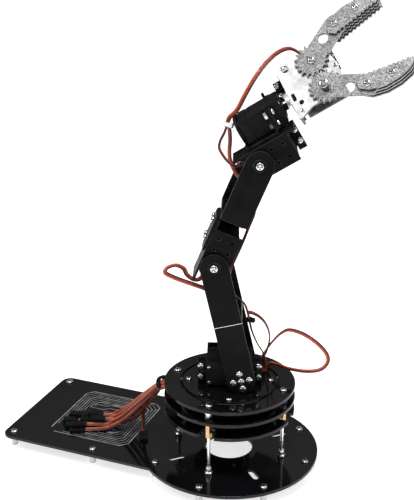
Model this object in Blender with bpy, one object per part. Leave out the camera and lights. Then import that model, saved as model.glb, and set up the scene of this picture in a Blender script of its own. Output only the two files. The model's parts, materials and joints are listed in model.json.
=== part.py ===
"""Six-axis hobby robot arm on a turntable base, driven by standard-size servos.

The arm stands in the XZ plane and reaches towards +X. Every hinge of the arm turns about +Y.
Each moving link is parented to an empty that stands on its joint's axis, with local +Z along the link.
"""

from math import atan2, cos, hypot, pi, radians, sin

import bmesh
import bpy
from mathutils import Matrix, Vector

MM = 0.001
GAP = 0.3

# Place of the turntable's axis, which puts the middle of the object's box at the origin (mm).
YAW_X = 33.13
YAW_Y = -22.11

# Angles at rest, in degrees. A lean is measured from upright, positive towards +X.
BASE_TURN = -20.0
UPPER_LEAN = -12.8
FOREARM_LEAN = 22.4
WRIST_LEAN = 59.0
CLAW_ROLL = 40.0

# Base plate: a disc with a tail for the electronics (mm).
FOOT_HEIGHT = 10.5
PLATE_T = 3.0
PLATE_R = 80.0
TAIL_END = -203.0
TAIL_HALF_WIDTH = 61.0
PLATE_TOP = FOOT_HEIGHT + PLATE_T
SCREW_CIRCLE_R = 71.5
CENTRE_HOLE_R = 21.0
SLOT_START_R = 45.5
SLOT_END_R = 56.0
SLOT_HALF_W = 2.6
FOOT_ANGLES = (270, 315, 0, 90)
TAIL_FEET = ((-194.0, -52.0), (-194.0, 52.0))

# Turntable housing: three discs on four posts (mm).
POST_CIRCLE_R = 49.7
ROD_R = 1.5
COLLAR_R = 3.6
RING_R = 58.0
RING_T = 3.0
RING_HOLE_R = 44.0
LOWER_DISC_Z = 52.0
MIDDLE_RING_Z = 65.0
TOP_RING_Z = 77.0
BRASS_Z = 50.0
TURNTABLE_R = 41.0
TURNTABLE_Z = 77.5
DISC_SCREW_R = 36.0
LEAD_NOTCH_ANGLE = 39.0
LEAD_NOTCH_HALF = 12.5
LEAD_NOTCH_R = 8.8

# Standard servo: x along the case from the shaft, z along the shaft from the case's bottom (mm).
SERVO_BACK = -10.2
SERVO_FRONT = 30.5
SERVO_HALF_W = 9.85
SERVO_H = 37.0
EAR_Z = 27.0
EAR_T = 2.5
EAR_REACH = 6.9
EAR_HOLE_X = (-14.6, 34.9)
EAR_HOLE_Y = 5.0
EAR_HALF_W = 9.0
BOSS_R = 6.6
SPLINE_R = 2.9
SPLINE_Z = 42.0
HORN_Z = 42.2
HORN_T = 3.0
HORN_R = 10.0
HORN_SCREW_R = 7.0
MID_PLANE = 20.6

# Sheet-metal brackets (mm).
SHEET = 2.0
SCREW_HOLE_R = 1.6
BRACKET_HALF_W = 12.5
U_HALF_W = 12.0
U_INNER = 25.0
U_OUTER = U_INNER + SHEET
U_DEPTH = 52.7
LINK_BASE = 41.4
SHOULDER_Z = TURNTABLE_Z + RING_T + GAP + BRACKET_HALF_W

# Wrist and claw, along the roll axis from the wrist pivot (mm).
ROLL_OFFSET = 2 * BRACKET_HALF_W
ROLL_SERVO_Z = -1.0
PALM_Z = ROLL_SERVO_Z + HORN_Z + HORN_T + GAP
PALM_SHIFT = 7.0
PIVOT_Z = 74.0
GEAR_TEETH = 18
GEAR_PITCH_R = 13.0
CLAW_PLATE_T = 2.0
FINGER_Y = -9.0
PALM_FRONT_Y = -6.7
PALM_BACK_Y = 6.6
GRIPPER_SERVO_Y = PALM_FRONT_Y + HORN_Z + HORN_T
JAW_FRONT_Y = -11.3
JAW_BACK_Y = 4.5
JAW_BOLTS = ((29.0, 17.2), (49.0, 20.0))
JAW_HOLE_R = 1.7
PIVOT_HOLE_R = 2.6
PALM_HALF_W = 26.5

# Link lengths between the hinges (mm).
SERVO_SHIFT = (SERVO_FRONT + SERVO_BACK) / 2
ELBOW_Z = 2 * U_DEPTH + GAP
WRIST_Z = LINK_BASE + U_DEPTH

# Servo leads: radius, spacing of the points along a lead, and the plug on its end (mm).
LEAD_R = 1.3
LEAD_STEP = 6.5
PLUG_SIZE = (14.0, 7.6, 2.8)

# Routes of the leads, from the turntable's axis at the floor (mm), and the empty that each one hangs on.
LEAD_ROUTES = {
    "gripper_lead": ("roll_axis", (
        (63.2, 43.5, 344), (60.5, 45.5, 353), (54.5, 44.5, 360.5), (46, 39, 365), (36.5, 31, 363),
        (27, 22.5, 356), (18.5, 14.5, 346), (11, 8.5, 334), (4, 6, 321), (-1.8, 5, 315.2),
        (-3.8, 3.8, 310.5),
    )),
    "wrist_lead": ("wrist_axis", (
        (-4.3, 2.8, 308), (-6, 0, 303.5), (-9, -3, 298), (-10, -4, 292), (-6.5, -5, 285.5), (-2, -6, 280.5),
        (3, -6, 277.5), (7.5, -6, 279), (10.9, -6, 281),
    )),
    "elbow_lead": ("shoulder_axis", (
        (-22.3, -8, 184.9), (-25.8, -8, 179.5), (-31, -8, 179), (-36.5, -10, 184), (-39, -14, 191),
        (-45, -18, 195.5), (-52, -20, 194), (-54, -20, 189.5), (-47, -19, 185), (-38, -18, 181),
        (-29, -16, 177), (-20, -13, 172), (-12, -9, 163), (-5, -3, 153), (-2.6, 0, 149),
    )),
    "arm_lead": ("shoulder_axis", (
        (17, 0, 259), (19, 3, 248), (19.5, 5, 235), (15, 5, 222), (9.5, 5, 207), (4.5, 5, 195),
        (0.2, 5, 184), (-2, 5, 173), (0.5, 5.5, 163.5), (6.5, 6.2, 157), (12.3, 7, 150.5),
        (14.8, 7.5, 143.5), (16.5, 8, 136),
    )),
    "shoulder_lead": ("yaw_axis", (
        (16.8, 8.3, 134.6), (19, 12, 123), (24, 18, 108), (30, 23.5, 95), (31.5, 24.5, 85),
        (31.5, 24.5, 75),
    )),
    "turntable_lead": ("yaw_axis", (
        (26.5, 28.5, 75), (27.5, 28.5, 86), (33, 26.5, 98), (39.5, 21.5, 110), (45, 16.5, 118.5),
        (52, 12, 124), (64, 6, 123), (76, 0, 117), (84, -4, 109), (85, -6, 102), (79, -8, 96),
        (67, -6, 93), (53, 1, 91.5), (42, 10, 91), (36, 17, 88), (33.5, 19.5, 82), (33.5, 19.5, 75),
    )),
    "base_lead_1": ("base", (
        (-50, 5, 72.5), (-58, 6, 72), (-67, 9, 67), (-76, 14, 57), (-88, 22, 43), (-103, 29, 27),
        (-118, 33, 17.5), (-130, 35, 15.5), (-143, 36, 15.5),
    )),
    "base_lead_2": ("base", (
        (-50, 10, 72.5), (-58, 12, 72), (-66, 16, 66), (-77, 23, 54), (-90, 31, 39), (-104, 38, 25),
        (-117, 42, 17.5), (-128, 44, 15.5), (-139, 46, 15.5),
    )),
    "base_lead_3": ("base", (
        (-50, 0, 72.5), (-58, 0, 72), (-66, 5, 66), (-72.5, 11, 56), (-77, 19, 45), (-80, 26, 34),
        (-80.8, 29, 25), (-80.6, 28, 18.5), (-80.2, 23, 15.7), (-79.5, 17.5, 15.5),
    )),
}


def clear_scene():
    for obj in list(bpy.data.objects):
        bpy.data.objects.remove(obj, do_unlink=True)


def material(name, colour, roughness, metallic=0.0):
    made = bpy.data.materials.new(name)
    made.use_nodes = True
    shader = made.node_tree.nodes["Principled BSDF"]
    shader.inputs["Base Color"].default_value = (*colour, 1.0)
    shader.inputs["Roughness"].default_value = roughness
    shader.inputs["Metallic"].default_value = metallic
    return made


def empty(name, parent, place=(0, 0, 0), turn=0.0, axis="Y"):
    """An empty at a place in mm, turned by degrees about one axis of its parent."""
    made = bpy.data.objects.new(name, None)
    bpy.context.scene.collection.objects.link(made)
    made.parent = parent
    made.matrix_local = Matrix.Translation(Vector(place) * MM) @ Matrix.Rotation(radians(turn), 4, axis)
    return made


def aim(x_way, z_way, place=(0, 0, 0)):
    """The matrix that sends local x and z the given ways, with its origin at a place in mm."""
    x, z = Vector(x_way), Vector(z_way)
    columns = Matrix((x, z.cross(x), z)).transposed()
    return Matrix.Translation(Vector(place) * MM) @ columns.to_4x4()


def circle(x, y, r, sides=12, first=0.0):
    angles = [first + 2 * pi * i / sides for i in range(sides)]
    return [(x + r * cos(a), y + r * sin(a)) for a in angles]


def arc(x, y, r, start, end, steps):
    """Points from start to end, in degrees."""
    angles = [radians(start + (end - start) * i / steps) for i in range(steps + 1)]
    return [(x + r * cos(a), y + r * sin(a)) for a in angles]


def rounded_rect(x0, y0, x1, y1, r, steps=3):
    corners = ((x1 - r, y0 + r, -90), (x1 - r, y1 - r, 0), (x0 + r, y1 - r, 90), (x0 + r, y0 + r, 180))
    return [p for x, y, a in corners for p in arc(x, y, r, a, a + 90, steps)]


def stadium(x0, y0, x1, y1, r, steps=4):
    """A slot with round ends between two points."""
    way = atan2(y1 - y0, x1 - x0) * 180 / pi
    return arc(x1, y1, r, way - 90, way + 90, steps) + arc(x0, y0, r, way + 90, way + 270, steps)


def link_object(name, mesh, parent, matrix, look):
    mesh.materials.append(look)
    obj = bpy.data.objects.new(name, mesh)
    bpy.context.scene.collection.objects.link(obj)
    obj.parent = parent
    obj.matrix_local = matrix
    return obj


def finish_mesh(name, bm):
    """Millimetres to metres, faces out, flat faces sharp and round ones smooth."""
    bmesh.ops.scale(bm, vec=(MM, MM, MM), verts=bm.verts)
    bmesh.ops.recalc_face_normals(bm, faces=bm.faces)
    mesh = bpy.data.meshes.new(name)
    bm.to_mesh(mesh)
    bm.free()
    mesh.shade_smooth()
    mesh.set_sharp_from_angle(angle=radians(32))
    return mesh


def plate(name, outline, z0, z1, holes, parent, matrix, look):
    """A flat plate with the outline and holes in local x and y, between two heights."""
    bm = bmesh.new()
    for loop in (outline, *holes):
        verts = [bm.verts.new((x, y, z0)) for x, y in loop]
        for a, b in zip(verts, verts[1:] + verts[:1]):
            bm.edges.new((a, b))
    bmesh.ops.triangle_fill(bm, use_beauty=True, edges=bm.edges[:], normal=(0, 0, 1))
    grown = bmesh.ops.extrude_face_region(bm, geom=bm.faces[:])["geom"]
    top = [v for v in grown if isinstance(v, bmesh.types.BMVert)]
    bmesh.ops.translate(bm, vec=(0, 0, z1 - z0), verts=top)
    return link_object(name, finish_mesh(name, bm), parent, matrix, look)


def block(name, low, high, parent, matrix, look, bevel=0.0):
    bm = bmesh.new()
    bmesh.ops.create_cube(bm, size=1.0)
    size = [b - a for a, b in zip(low, high)]
    middle = [(a + b) / 2 for a, b in zip(low, high)]
    bmesh.ops.scale(bm, vec=size, verts=bm.verts)
    bmesh.ops.translate(bm, vec=middle, verts=bm.verts)
    if bevel:
        bmesh.ops.bevel(bm, geom=bm.edges[:], offset=bevel, segments=1, affect="EDGES")
    return link_object(name, finish_mesh(name, bm), parent, matrix, look)


def turned(name, profile, sides, parent, matrix, look):
    """A solid of revolution about local z. The profile runs from the axis below to the axis on top."""
    bm = bmesh.new()
    rings = []
    for r, z in profile:
        if r == 0:
            rings.append([bm.verts.new((0, 0, z))])
        else:
            rings.append([bm.verts.new((x, y, z)) for x, y in circle(0, 0, r, sides)])
    for low, high in zip(rings, rings[1:]):
        for i in range(sides):
            j = (i + 1) % sides
            corners = [low[i % len(low)], low[j % len(low)], high[j % len(high)], high[i % len(high)]]
            bm.faces.new(list(dict.fromkeys(corners)))
    return link_object(name, finish_mesh(name, bm), parent, matrix, look)


def hide(obj):
    obj.hide_render = True
    obj.display_type = "WIRE"


def combine(target, operation, *others):
    for other in others:
        hide(other)
        step = target.modifiers.new(other.name, "BOOLEAN")
        step.operation = operation
        step.solver = "EXACT"
        step.object = other


def fuse(target, *others):
    combine(target, "UNION", *others)


def carve(target, *others):
    combine(target, "DIFFERENCE", *others)


def servo(name, parent, matrix, look):
    """Case with screw ears, a round gear-head boss and the output spline."""
    low, high = (SERVO_BACK, -SERVO_HALF_W, 0), (SERVO_FRONT, SERVO_HALF_W, SERVO_H)
    case = block(name, low, high, parent, matrix, look, bevel=0.6)
    outline = rounded_rect(
        SERVO_BACK - EAR_REACH, -EAR_HALF_W, SERVO_FRONT + EAR_REACH, EAR_HALF_W, 1.5, steps=2
    )
    ears = plate(name + "_ears", outline, EAR_Z, EAR_Z + EAR_T, [], parent, matrix, look)
    boss_low, boss_top = SERVO_H - 1, SERVO_H + 1.2
    profile = [(0, boss_low), (BOSS_R, boss_low), (BOSS_R, boss_top), (SPLINE_R, boss_top)]
    profile += [(SPLINE_R, SPLINE_Z), (0, SPLINE_Z)]
    boss = turned(name + "_boss", profile, 16, parent, matrix, look)
    fuse(case, ears, boss)
    return case


def horn(name, parent, matrix, look):
    """Round metal horn just above the spline."""
    return plate(name, circle(0, 0, HORN_R, 24), HORN_Z, HORN_Z + HORN_T, [], parent, matrix, look)


def servo_bracket(name, web_side, parent, matrix, look):
    """Open servo bracket: a web along one long side, a bearing flange behind and two ear flanges."""
    w = BRACKET_HALF_W
    back, front = SERVO_BACK - EAR_REACH - 0.6, SERVO_FRONT + EAR_REACH + 0.6
    web_matrix = matrix @ aim((1, 0, 0), (0, web_side, 0), (0, web_side * (w - SHEET), 0))
    low, high = -GAP - SHEET, EAR_Z - GAP
    # The web's local y is -z of the servo on one side and +z on the other.
    flip = -1 if web_side > 0 else 1
    span = sorted((flip * low, flip * high))
    middle = (SERVO_BACK + SERVO_FRONT) / 2
    holes = [circle(middle + x, flip * z, SCREW_HOLE_R, 8) for x in (-12, 12) for z in (7, 17)]
    web = plate(
        name, [(back, span[0]), (front, span[0]), (front, span[1]), (back, span[1])],
        0, SHEET, holes, parent, web_matrix, look,
    )
    outline = [(SERVO_FRONT, -w), (SERVO_FRONT, w)] + arc(0, 0, w, 90, 270, 10)
    bores = [circle(0, 0, 4.1, 12)] + [circle(x, y, SCREW_HOLE_R, 8) for x in (14, 24) for y in (-6, 6)]
    rear = plate(name + "_rear", outline, low, -GAP, bores, parent, matrix, look)
    flanges = []
    for end, x0, x1, x_hole in (
        ("_back_ear", back, SERVO_BACK - 0.4, EAR_HOLE_X[0]),
        ("_front_ear", SERVO_FRONT + 0.4, front, EAR_HOLE_X[1]),
    ):
        ears = [circle(x_hole, s * EAR_HOLE_Y, 2.2, 8) for s in (-1, 1)]
        outline = [(x0, -w), (x1, -w), (x1, w), (x0, w)]
        flanges.append(plate(name + end, outline, high - SHEET, high, ears, parent, matrix, look))
    fuse(web, rear, *flanges)
    return web


def u_bracket(name, parent, matrix, look, horn_side):
    """U of sheet metal: two legs with round ends about the pivot on local y, and a base across them."""
    leg = [(U_DEPTH, -U_HALF_W), (U_DEPTH, U_HALF_W)] + arc(0, 0, U_HALF_W, 90, 270, 12)
    quarters = (0, pi / 2, pi, 3 * pi / 2)
    horn_holes = [circle(HORN_SCREW_R * cos(a), HORN_SCREW_R * sin(a), SCREW_HOLE_R, 8) for a in quarters]
    legs = []
    for side in (-1, 1):
        holes = [circle(0, 0, 2.2, 8)]
        if side == horn_side:
            holes += horn_holes
        at = matrix @ aim((0, 0, 1), (0, side, 0), (0, side * U_INNER, 0))
        legs.append(plate(name + ("_near", "_far")[side > 0], leg, 0, SHEET, holes, parent, at, look))
    base_holes = [circle(x, y, SCREW_HOLE_R, 8) for x in (-6, 6) for y in (-14, 14)] + [circle(0, 0, 4, 12)]
    outline = [(-U_HALF_W, -U_OUTER), (U_HALF_W, -U_OUTER), (U_HALF_W, U_OUTER), (-U_HALF_W, U_OUTER)]
    base = plate(name, outline, U_DEPTH - SHEET, U_DEPTH, base_holes, parent, matrix, look)
    fuse(base, *legs)
    return base


def gear_outline(pitch_r, teeth, first):
    """Straight-sided teeth with some play. first is one tooth's angle in degrees."""
    module = 2 * pitch_r / teeth
    tip, root = pitch_r + 0.85 * module, pitch_r - 1.1 * module
    half_tip, half_root = 1.9, 6.0
    points = []
    for i in range(teeth):
        middle = first + 360 * i / teeth
        for r, offset in ((root, -half_root), (tip, -half_tip), (tip, half_tip), (root, half_root)):
            a = radians(middle + offset)
            points.append((r * cos(a), r * sin(a)))
    return points


def smooth_points(points, step):
    """Points every step along a Catmull-Rom curve through the given points, in mm."""
    ends = [2 * points[0] - points[1]] + points + [2 * points[-1] - points[-2]]
    fine = []
    for p0, p1, p2, p3 in zip(ends, ends[1:], ends[2:], ends[3:]):
        for i in range(24):
            t = i / 24
            fine.append(
                0.5 * (2 * p1 + (p2 - p0) * t + (2 * p0 - 5 * p1 + 4 * p2 - p3) * t * t
                       + (3 * p1 - p0 - 3 * p2 + p3) * t ** 3)
            )
    fine.append(points[-1])
    kept, run = [fine[0]], 0.0
    for a, b in zip(fine, fine[1:]):
        run += (b - a).length
        if run >= step:
            kept.append(b)
            run = 0.0
    if (kept[-1] - fine[-1]).length < step / 2:
        kept.pop()
    return kept + [fine[-1]]


def lead(name, route, parent, look):
    """A servo lead as a round tube along a smooth curve through its route, in mm."""
    points = smooth_points([Vector(p) for p in route], LEAD_STEP)
    curve = bpy.data.curves.new(name, "CURVE")
    curve.dimensions = "3D"
    curve.bevel_depth = LEAD_R * MM
    curve.bevel_resolution = 2
    curve.use_fill_caps = True
    spline = curve.splines.new("POLY")
    spline.points.add(len(points) - 1)
    for target, point in zip(spline.points, points):
        target.co = (*(point * MM), 1.0)
    curve.materials.append(look)
    obj = bpy.data.objects.new(name, curve)
    bpy.context.scene.collection.objects.link(obj)
    hang(obj, parent)


def hang(obj, parent):
    """Parents an object that is placed in the ground's frame."""
    ground = bpy.data.objects["ground"]
    obj.parent = parent
    obj.matrix_parent_inverse = parent.matrix_world.inverted() @ ground.matrix_world


def plug(name, route, parent, look):
    """Three-pin plug in line with the end of its lead."""
    before, end = Vector(route[-2]), Vector(route[-1])
    way = (end - before).normalized()
    length, width, height = PLUG_SIZE
    at = aim(way, (0, 0, 1), end)
    low = (GAP, -width / 2, -height / 2)
    high = (GAP + length, width / 2, height / 2)
    obj = block(name, low, high, None, at, look, bevel=0.5)
    hang(obj, parent)


def build_leads(looks):
    """All the leads, and the plugs of those that end on the base plate."""
    bpy.context.view_layer.update()
    for name, (holder, route) in LEAD_ROUTES.items():
        parent = bpy.data.objects[holder]
        lead(name, route, parent, looks["lead"])
        if holder == "base":
            plug(name.replace("base_lead", "plug"), route, parent, looks["plug"])


def palette():
    """One material for each finish."""
    return {
        "gloss": material("gloss_black_plate", (0.012, 0.012, 0.014), 0.12),
        "sheet": material("black_sheet", (0.03, 0.03, 0.033), 0.42, 0.3),
        "case": material("servo_case", (0.018, 0.018, 0.02), 0.38),
        "alloy": material("bright_aluminium", (0.86, 0.87, 0.88), 0.25, 1.0),
        "steel": material("grey_steel", (0.45, 0.46, 0.48), 0.38, 1.0),
        "brass": material("brass", (0.62, 0.42, 0.22), 0.3, 1.0),
        "nylon": material("white_nylon", (0.78, 0.79, 0.8), 0.5),
        "lead": material("servo_lead", (0.55, 0.12, 0.06), 0.5),
        "plug": material("black_plug", (0.02, 0.02, 0.022), 0.45),
    }


def base_plate(parent, look):
    """Disc and tail in one plate, with a big central hole and four slots."""
    join = atan2(TAIL_HALF_WIDTH, (PLATE_R ** 2 - TAIL_HALF_WIDTH ** 2) ** 0.5) * 180 / pi
    r = 9.0
    outline = arc(0, 0, PLATE_R, join - 180, 180 - join, 44)
    outline += arc(TAIL_END + r, TAIL_HALF_WIDTH - r, r, 90, 180, 5)
    outline += arc(TAIL_END + r, r - TAIL_HALF_WIDTH, r, 180, 270, 5)
    holes = [circle(0, 0, CENTRE_HOLE_R, 32)]
    for turn in (45, 135, 225, 315):
        way = Vector((cos(radians(turn)), sin(radians(turn))))
        holes.append(stadium(*(way * SLOT_START_R), *(way * SLOT_END_R), SLOT_HALF_W))
    return plate("base_plate", outline, FOOT_HEIGHT, PLATE_TOP, holes, parent, Matrix(), look)


def feet(parent, look):
    """Hexagonal standoffs that carry the plate."""
    places = [(SCREW_CIRCLE_R * cos(radians(a)), SCREW_CIRCLE_R * sin(radians(a))) for a in FOOT_ANGLES]
    for i, (x, y) in enumerate([*places, *TAIL_FEET], 1):
        plate(f"foot_{i}", circle(x, y, 3.2, 6), 0, FOOT_HEIGHT - GAP, [], parent, Matrix(), look)


def post_places():
    return [(POST_CIRCLE_R * cos(a), POST_CIRCLE_R * sin(a)) for a in (0, pi / 2, pi, 3 * pi / 2)]


def posts(parent, steel, brass):
    """Four posts: a flanged rod from the base plate, then a brass hexagon up to the middle ring."""
    for i, (x, y) in enumerate(post_places(), 1):
        foot_z, rod_top = PLATE_TOP + GAP, BRASS_Z - GAP
        collar_top = foot_z + 1.6
        profile = [(0, foot_z), (COLLAR_R, foot_z), (COLLAR_R, collar_top), (ROD_R, collar_top)]
        profile += [(ROD_R, rod_top), (0, rod_top)]
        at = Matrix.Translation(Vector((x, y, 0)) * MM)
        turned(f"post_rod_{i}", profile, 12, parent, at, steel)
        outline = circle(x, y, 3.1, 6)
        plate(f"brass_spacer_{i}", outline, BRASS_Z, MIDDLE_RING_Z - GAP, [], parent, Matrix(), brass)


def rings(parent, look):
    """The notched lower disc that carries the yaw servo, and the two rings above it."""
    cut = 7.0
    notches, half = [], 7.6
    for turn in (0, 90, 180, 270):
        notches += arc(0, 0, RING_R, turn + half, turn + 90 - half, 10)
        middle = turn + 90
        x, y = POST_CIRCLE_R * cos(radians(middle)), POST_CIRCLE_R * sin(radians(middle))
        notches += arc(x, y, cut, middle - 60, middle - 300, 8)
    servo_hole = rounded_rect(-SERVO_FRONT - 0.5, -10.35, 0.5 - SERVO_BACK, 10.35, 0.5, steps=1)
    plate("lower_disc", notches, LOWER_DISC_Z, LOWER_DISC_Z + RING_T, [servo_hole], parent, Matrix(), look)
    for name, z in (("middle_ring", MIDDLE_RING_Z), ("top_ring", TOP_RING_Z)):
        holes = [circle(0, 0, RING_HOLE_R, 48)] + [circle(x, y, 1.7, 8) for x, y in post_places()]
        plate(name, circle(0, 0, RING_R, 64), z, z + RING_T, holes, parent, Matrix(), look)


def yaw_servo(parent, look):
    """Stands in the lower disc with its ears on top of it and its shaft on the turntable's axis."""
    bottom = LOWER_DISC_Z + RING_T + GAP - EAR_Z
    servo("yaw_servo", parent, aim((-1, 0, 0), (0, 0, 1), (0, 0, bottom)), look)
    return bottom


def build_base(ground, looks):
    base = empty("base", ground, turn=BASE_TURN, axis="Z")
    base_plate(base, looks["gloss"])
    feet(base, looks["nylon"])
    posts(base, looks["alloy"], looks["brass"])
    rings(base, looks["gloss"])
    return base


def build_turntable(yaw_axis, looks):
    """Turning disc with a notch for the leads, and the shoulder servo lying on it in its bracket."""
    top = TURNTABLE_Z + RING_T
    quarters = (0, pi / 2, pi, 3 * pi / 2)
    screws = [circle(DISC_SCREW_R * cos(a), DISC_SCREW_R * sin(a), SCREW_HOLE_R, 8) for a in quarters]
    start, end = LEAD_NOTCH_ANGLE + LEAD_NOTCH_HALF, LEAD_NOTCH_ANGLE - LEAD_NOTCH_HALF + 360
    notch_x = TURNTABLE_R * cos(radians(LEAD_NOTCH_ANGLE))
    notch_y = TURNTABLE_R * sin(radians(LEAD_NOTCH_ANGLE))
    outline = arc(0, 0, TURNTABLE_R, start, end, 46)
    outline += arc(notch_x, notch_y, LEAD_NOTCH_R, LEAD_NOTCH_ANGLE - 95, LEAD_NOTCH_ANGLE - 265, 10)
    plate("turntable_disc", outline, TURNTABLE_Z, top, screws, yaw_axis, Matrix(), looks["gloss"])
    at = aim((-1, 0, 0), (0, -1, 0), (SERVO_SHIFT, MID_PLANE, SHOULDER_Z))
    servo("shoulder_servo", yaw_axis, at, looks["case"])
    servo_bracket("shoulder_bracket", 1, yaw_axis, at, looks["sheet"])


def build_upper_arm(shoulder_axis, looks):
    """Two U-brackets back to back, with the horns of the shoulder and elbow servos."""
    u_bracket("lower_arm_bracket", shoulder_axis, Matrix(), looks["sheet"], -1)
    up = aim((1, 0, 0), (0, 0, -1), (0, 0, 2 * U_DEPTH + GAP))
    u_bracket("upper_arm_bracket", shoulder_axis, up, looks["sheet"], -1)
    horn("shoulder_horn", shoulder_axis, aim((-1, 0, 0), (0, -1, 0), (0, MID_PLANE, 0)), looks["alloy"])
    elbow = (0, -MID_PLANE, ELBOW_Z)
    horn("elbow_horn", shoulder_axis, aim((0, 0, 1), (0, 1, 0), elbow), looks["alloy"])


def l_bracket(parent, look):
    """Joins the web of the elbow bracket to the base of the forearm bracket."""
    outer, width, top = -BRACKET_HALF_W - GAP, 25.0, LINK_BASE - GAP
    profile = [(outer, 9.0), (outer, top - SHEET), (9.0, top - SHEET), (9.0, top)]
    profile += arc(outer + 1.0, top - 3.0, 3.0, 90, 180, 4) + [(outer - SHEET, 9.0)]
    profile = [(x, -z) for x, z in profile]
    at = aim((1, 0, 0), (0, 1, 0), (0, -MID_PLANE, 0))
    plate("elbow_l_bracket", profile, 0, width, [], parent, at, look)


def build_forearm(elbow_axis, looks):
    """Elbow servo in its bracket, the L-bracket, the forearm's U-bracket and the wrist servo's horn."""
    at = aim((0, 0, 1), (0, 1, 0), (0, -MID_PLANE, 0))
    servo("elbow_servo", elbow_axis, at, looks["case"])
    servo_bracket("elbow_bracket", -1, elbow_axis, at, looks["sheet"])
    l_bracket(elbow_axis, looks["sheet"])
    up = aim((1, 0, 0), (0, 0, -1), (0, 0, WRIST_Z))
    u_bracket("forearm_bracket", elbow_axis, up, looks["sheet"], -1)
    horn("wrist_horn", elbow_axis, aim((0, 0, 1), (0, 1, 0), (0, -MID_PLANE, WRIST_Z)), looks["alloy"])


def build_wrist(wrist_axis, looks):
    """Pitch servo and roll servo, their brackets web to web."""
    pitch = aim((0, 0, 1), (0, 1, 0), (0, -MID_PLANE, 0))
    servo("pitch_servo", wrist_axis, pitch, looks["case"])
    servo_bracket("pitch_bracket", -1, wrist_axis, pitch, looks["sheet"])
    roll = aim((0, 1, 0), (0, 0, 1), (-ROLL_OFFSET - GAP, 0, ROLL_SERVO_Z))
    servo("roll_servo", wrist_axis, roll, looks["case"])
    servo_bracket("roll_bracket", -1, wrist_axis, roll, looks["sheet"])


def palm_outline():
    """Palm plate in (along, across): wide at the base, waisted, with a round front."""
    waist, side = 22.0, 25.0
    edge = [(PALM_Z, PALM_HALF_W), (PALM_Z + 3, PALM_HALF_W), (58.0, waist), (66.0, waist), (72.0, side)]
    front = arc(64.0, 0, PALM_HALF_W, 62, -62, 12)
    return edge + front + [(z, -x) for z, x in reversed(edge)]


def across(points):
    """Moves palm points from the claw's middle to the roll axis."""
    return [(z, x - PALM_SHIFT) for z, x in points]


def build_palm(roll_axis, looks):
    """Palm of two plates on the roll servo's horn, with the gripper servo and the lower pivot bolt."""
    flat = aim((0, 0, 1), (0, 1, 0))
    low_x, high_x = GEAR_PITCH_R - PALM_SHIFT, -GEAR_PITCH_R - PALM_SHIFT
    horn("roll_horn", roll_axis, Matrix.Translation((0, 0, ROLL_SERVO_Z * MM)), looks["alloy"])
    holes = [circle(PIVOT_Z, low_x, PIVOT_HOLE_R, 12), circle(PIVOT_Z, high_x, 10.6, 24)]
    holes += [circle(52, 14 - PALM_SHIFT, 2.0, 8), circle(52, -19 - PALM_SHIFT, 3.0, 12)]
    front = plate(
        "palm_front", across(palm_outline()), PALM_FRONT_Y, PALM_FRONT_Y + CLAW_PLATE_T,
        holes, roll_axis, flat, looks["alloy"],
    )
    inset = 0.3
    reach = PALM_HALF_W - inset
    low = (-reach - PALM_SHIFT, PALM_FRONT_Y + inset, PALM_Z + inset)
    high = (reach - PALM_SHIFT, PALM_BACK_Y - GAP, PALM_Z + inset + CLAW_PLATE_T)
    flange = block("palm_flange", low, high, roll_axis, Matrix(), looks["alloy"])
    fuse(front, flange)
    pocket = block(
        "servo_pocket", (high_x - 10.3, 1.1, PIVOT_Z - 31.0), (high_x + 10.3, 20.0, PIVOT_Z + 10.7),
        roll_axis, Matrix(), looks["alloy"],
    )
    carve(front, pocket)
    outline = rounded_rect(PALM_Z, -28.0 - PALM_SHIFT, 88.0, 22.5 - PALM_SHIFT, 4.0)
    back = plate(
        "palm_back", outline, PALM_BACK_Y, PALM_BACK_Y + CLAW_PLATE_T,
        [circle(PIVOT_Z, low_x, PIVOT_HOLE_R, 12)], roll_axis, flat, looks["alloy"],
    )
    carve(back, pocket)
    at = aim((0, 0, -1), (0, -1, 0), (high_x, GRIPPER_SERVO_Y, PIVOT_Z))
    servo("gripper_servo", roll_axis, at, looks["case"])
    seat, head, rod = JAW_FRONT_Y - GAP, 4.2, 2.2
    profile = [(0, -14.6), (head, -14.6), (head, seat), (rod, seat), (rod, 10.5), (0, 10.5)]
    bolt = aim((0, 0, 1), (0, 1, 0), (low_x, 0, PIVOT_Z))
    turned("pivot_bolt", profile, 12, roll_axis, bolt, looks["steel"])


def jaw_outline(side):
    """Jaw in (along, outwards) from its pivot: serrated inner edge, bowed outer edge."""
    start, end, teeth, depth = Vector((26.5, 8.0)), Vector((68.0, 15.5)), 11, 1.5
    inner = []
    for i in range(teeth):
        inner.append(start.lerp(end, i / teeth))
        inner.append(start.lerp(end, (i + 0.5) / teeth) + Vector((0, depth)))
    outer = [(68.4, 16.2), (68.0, 19.5), (62.0, 23.4), (52.0, 26.0), (40.0, 26.3), (28.0, 23.3)]
    outer += [(21.5, 17.5), (21.5, 12)]
    return [(x, side * y) for x, y in [*inner, *outer]]


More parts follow.
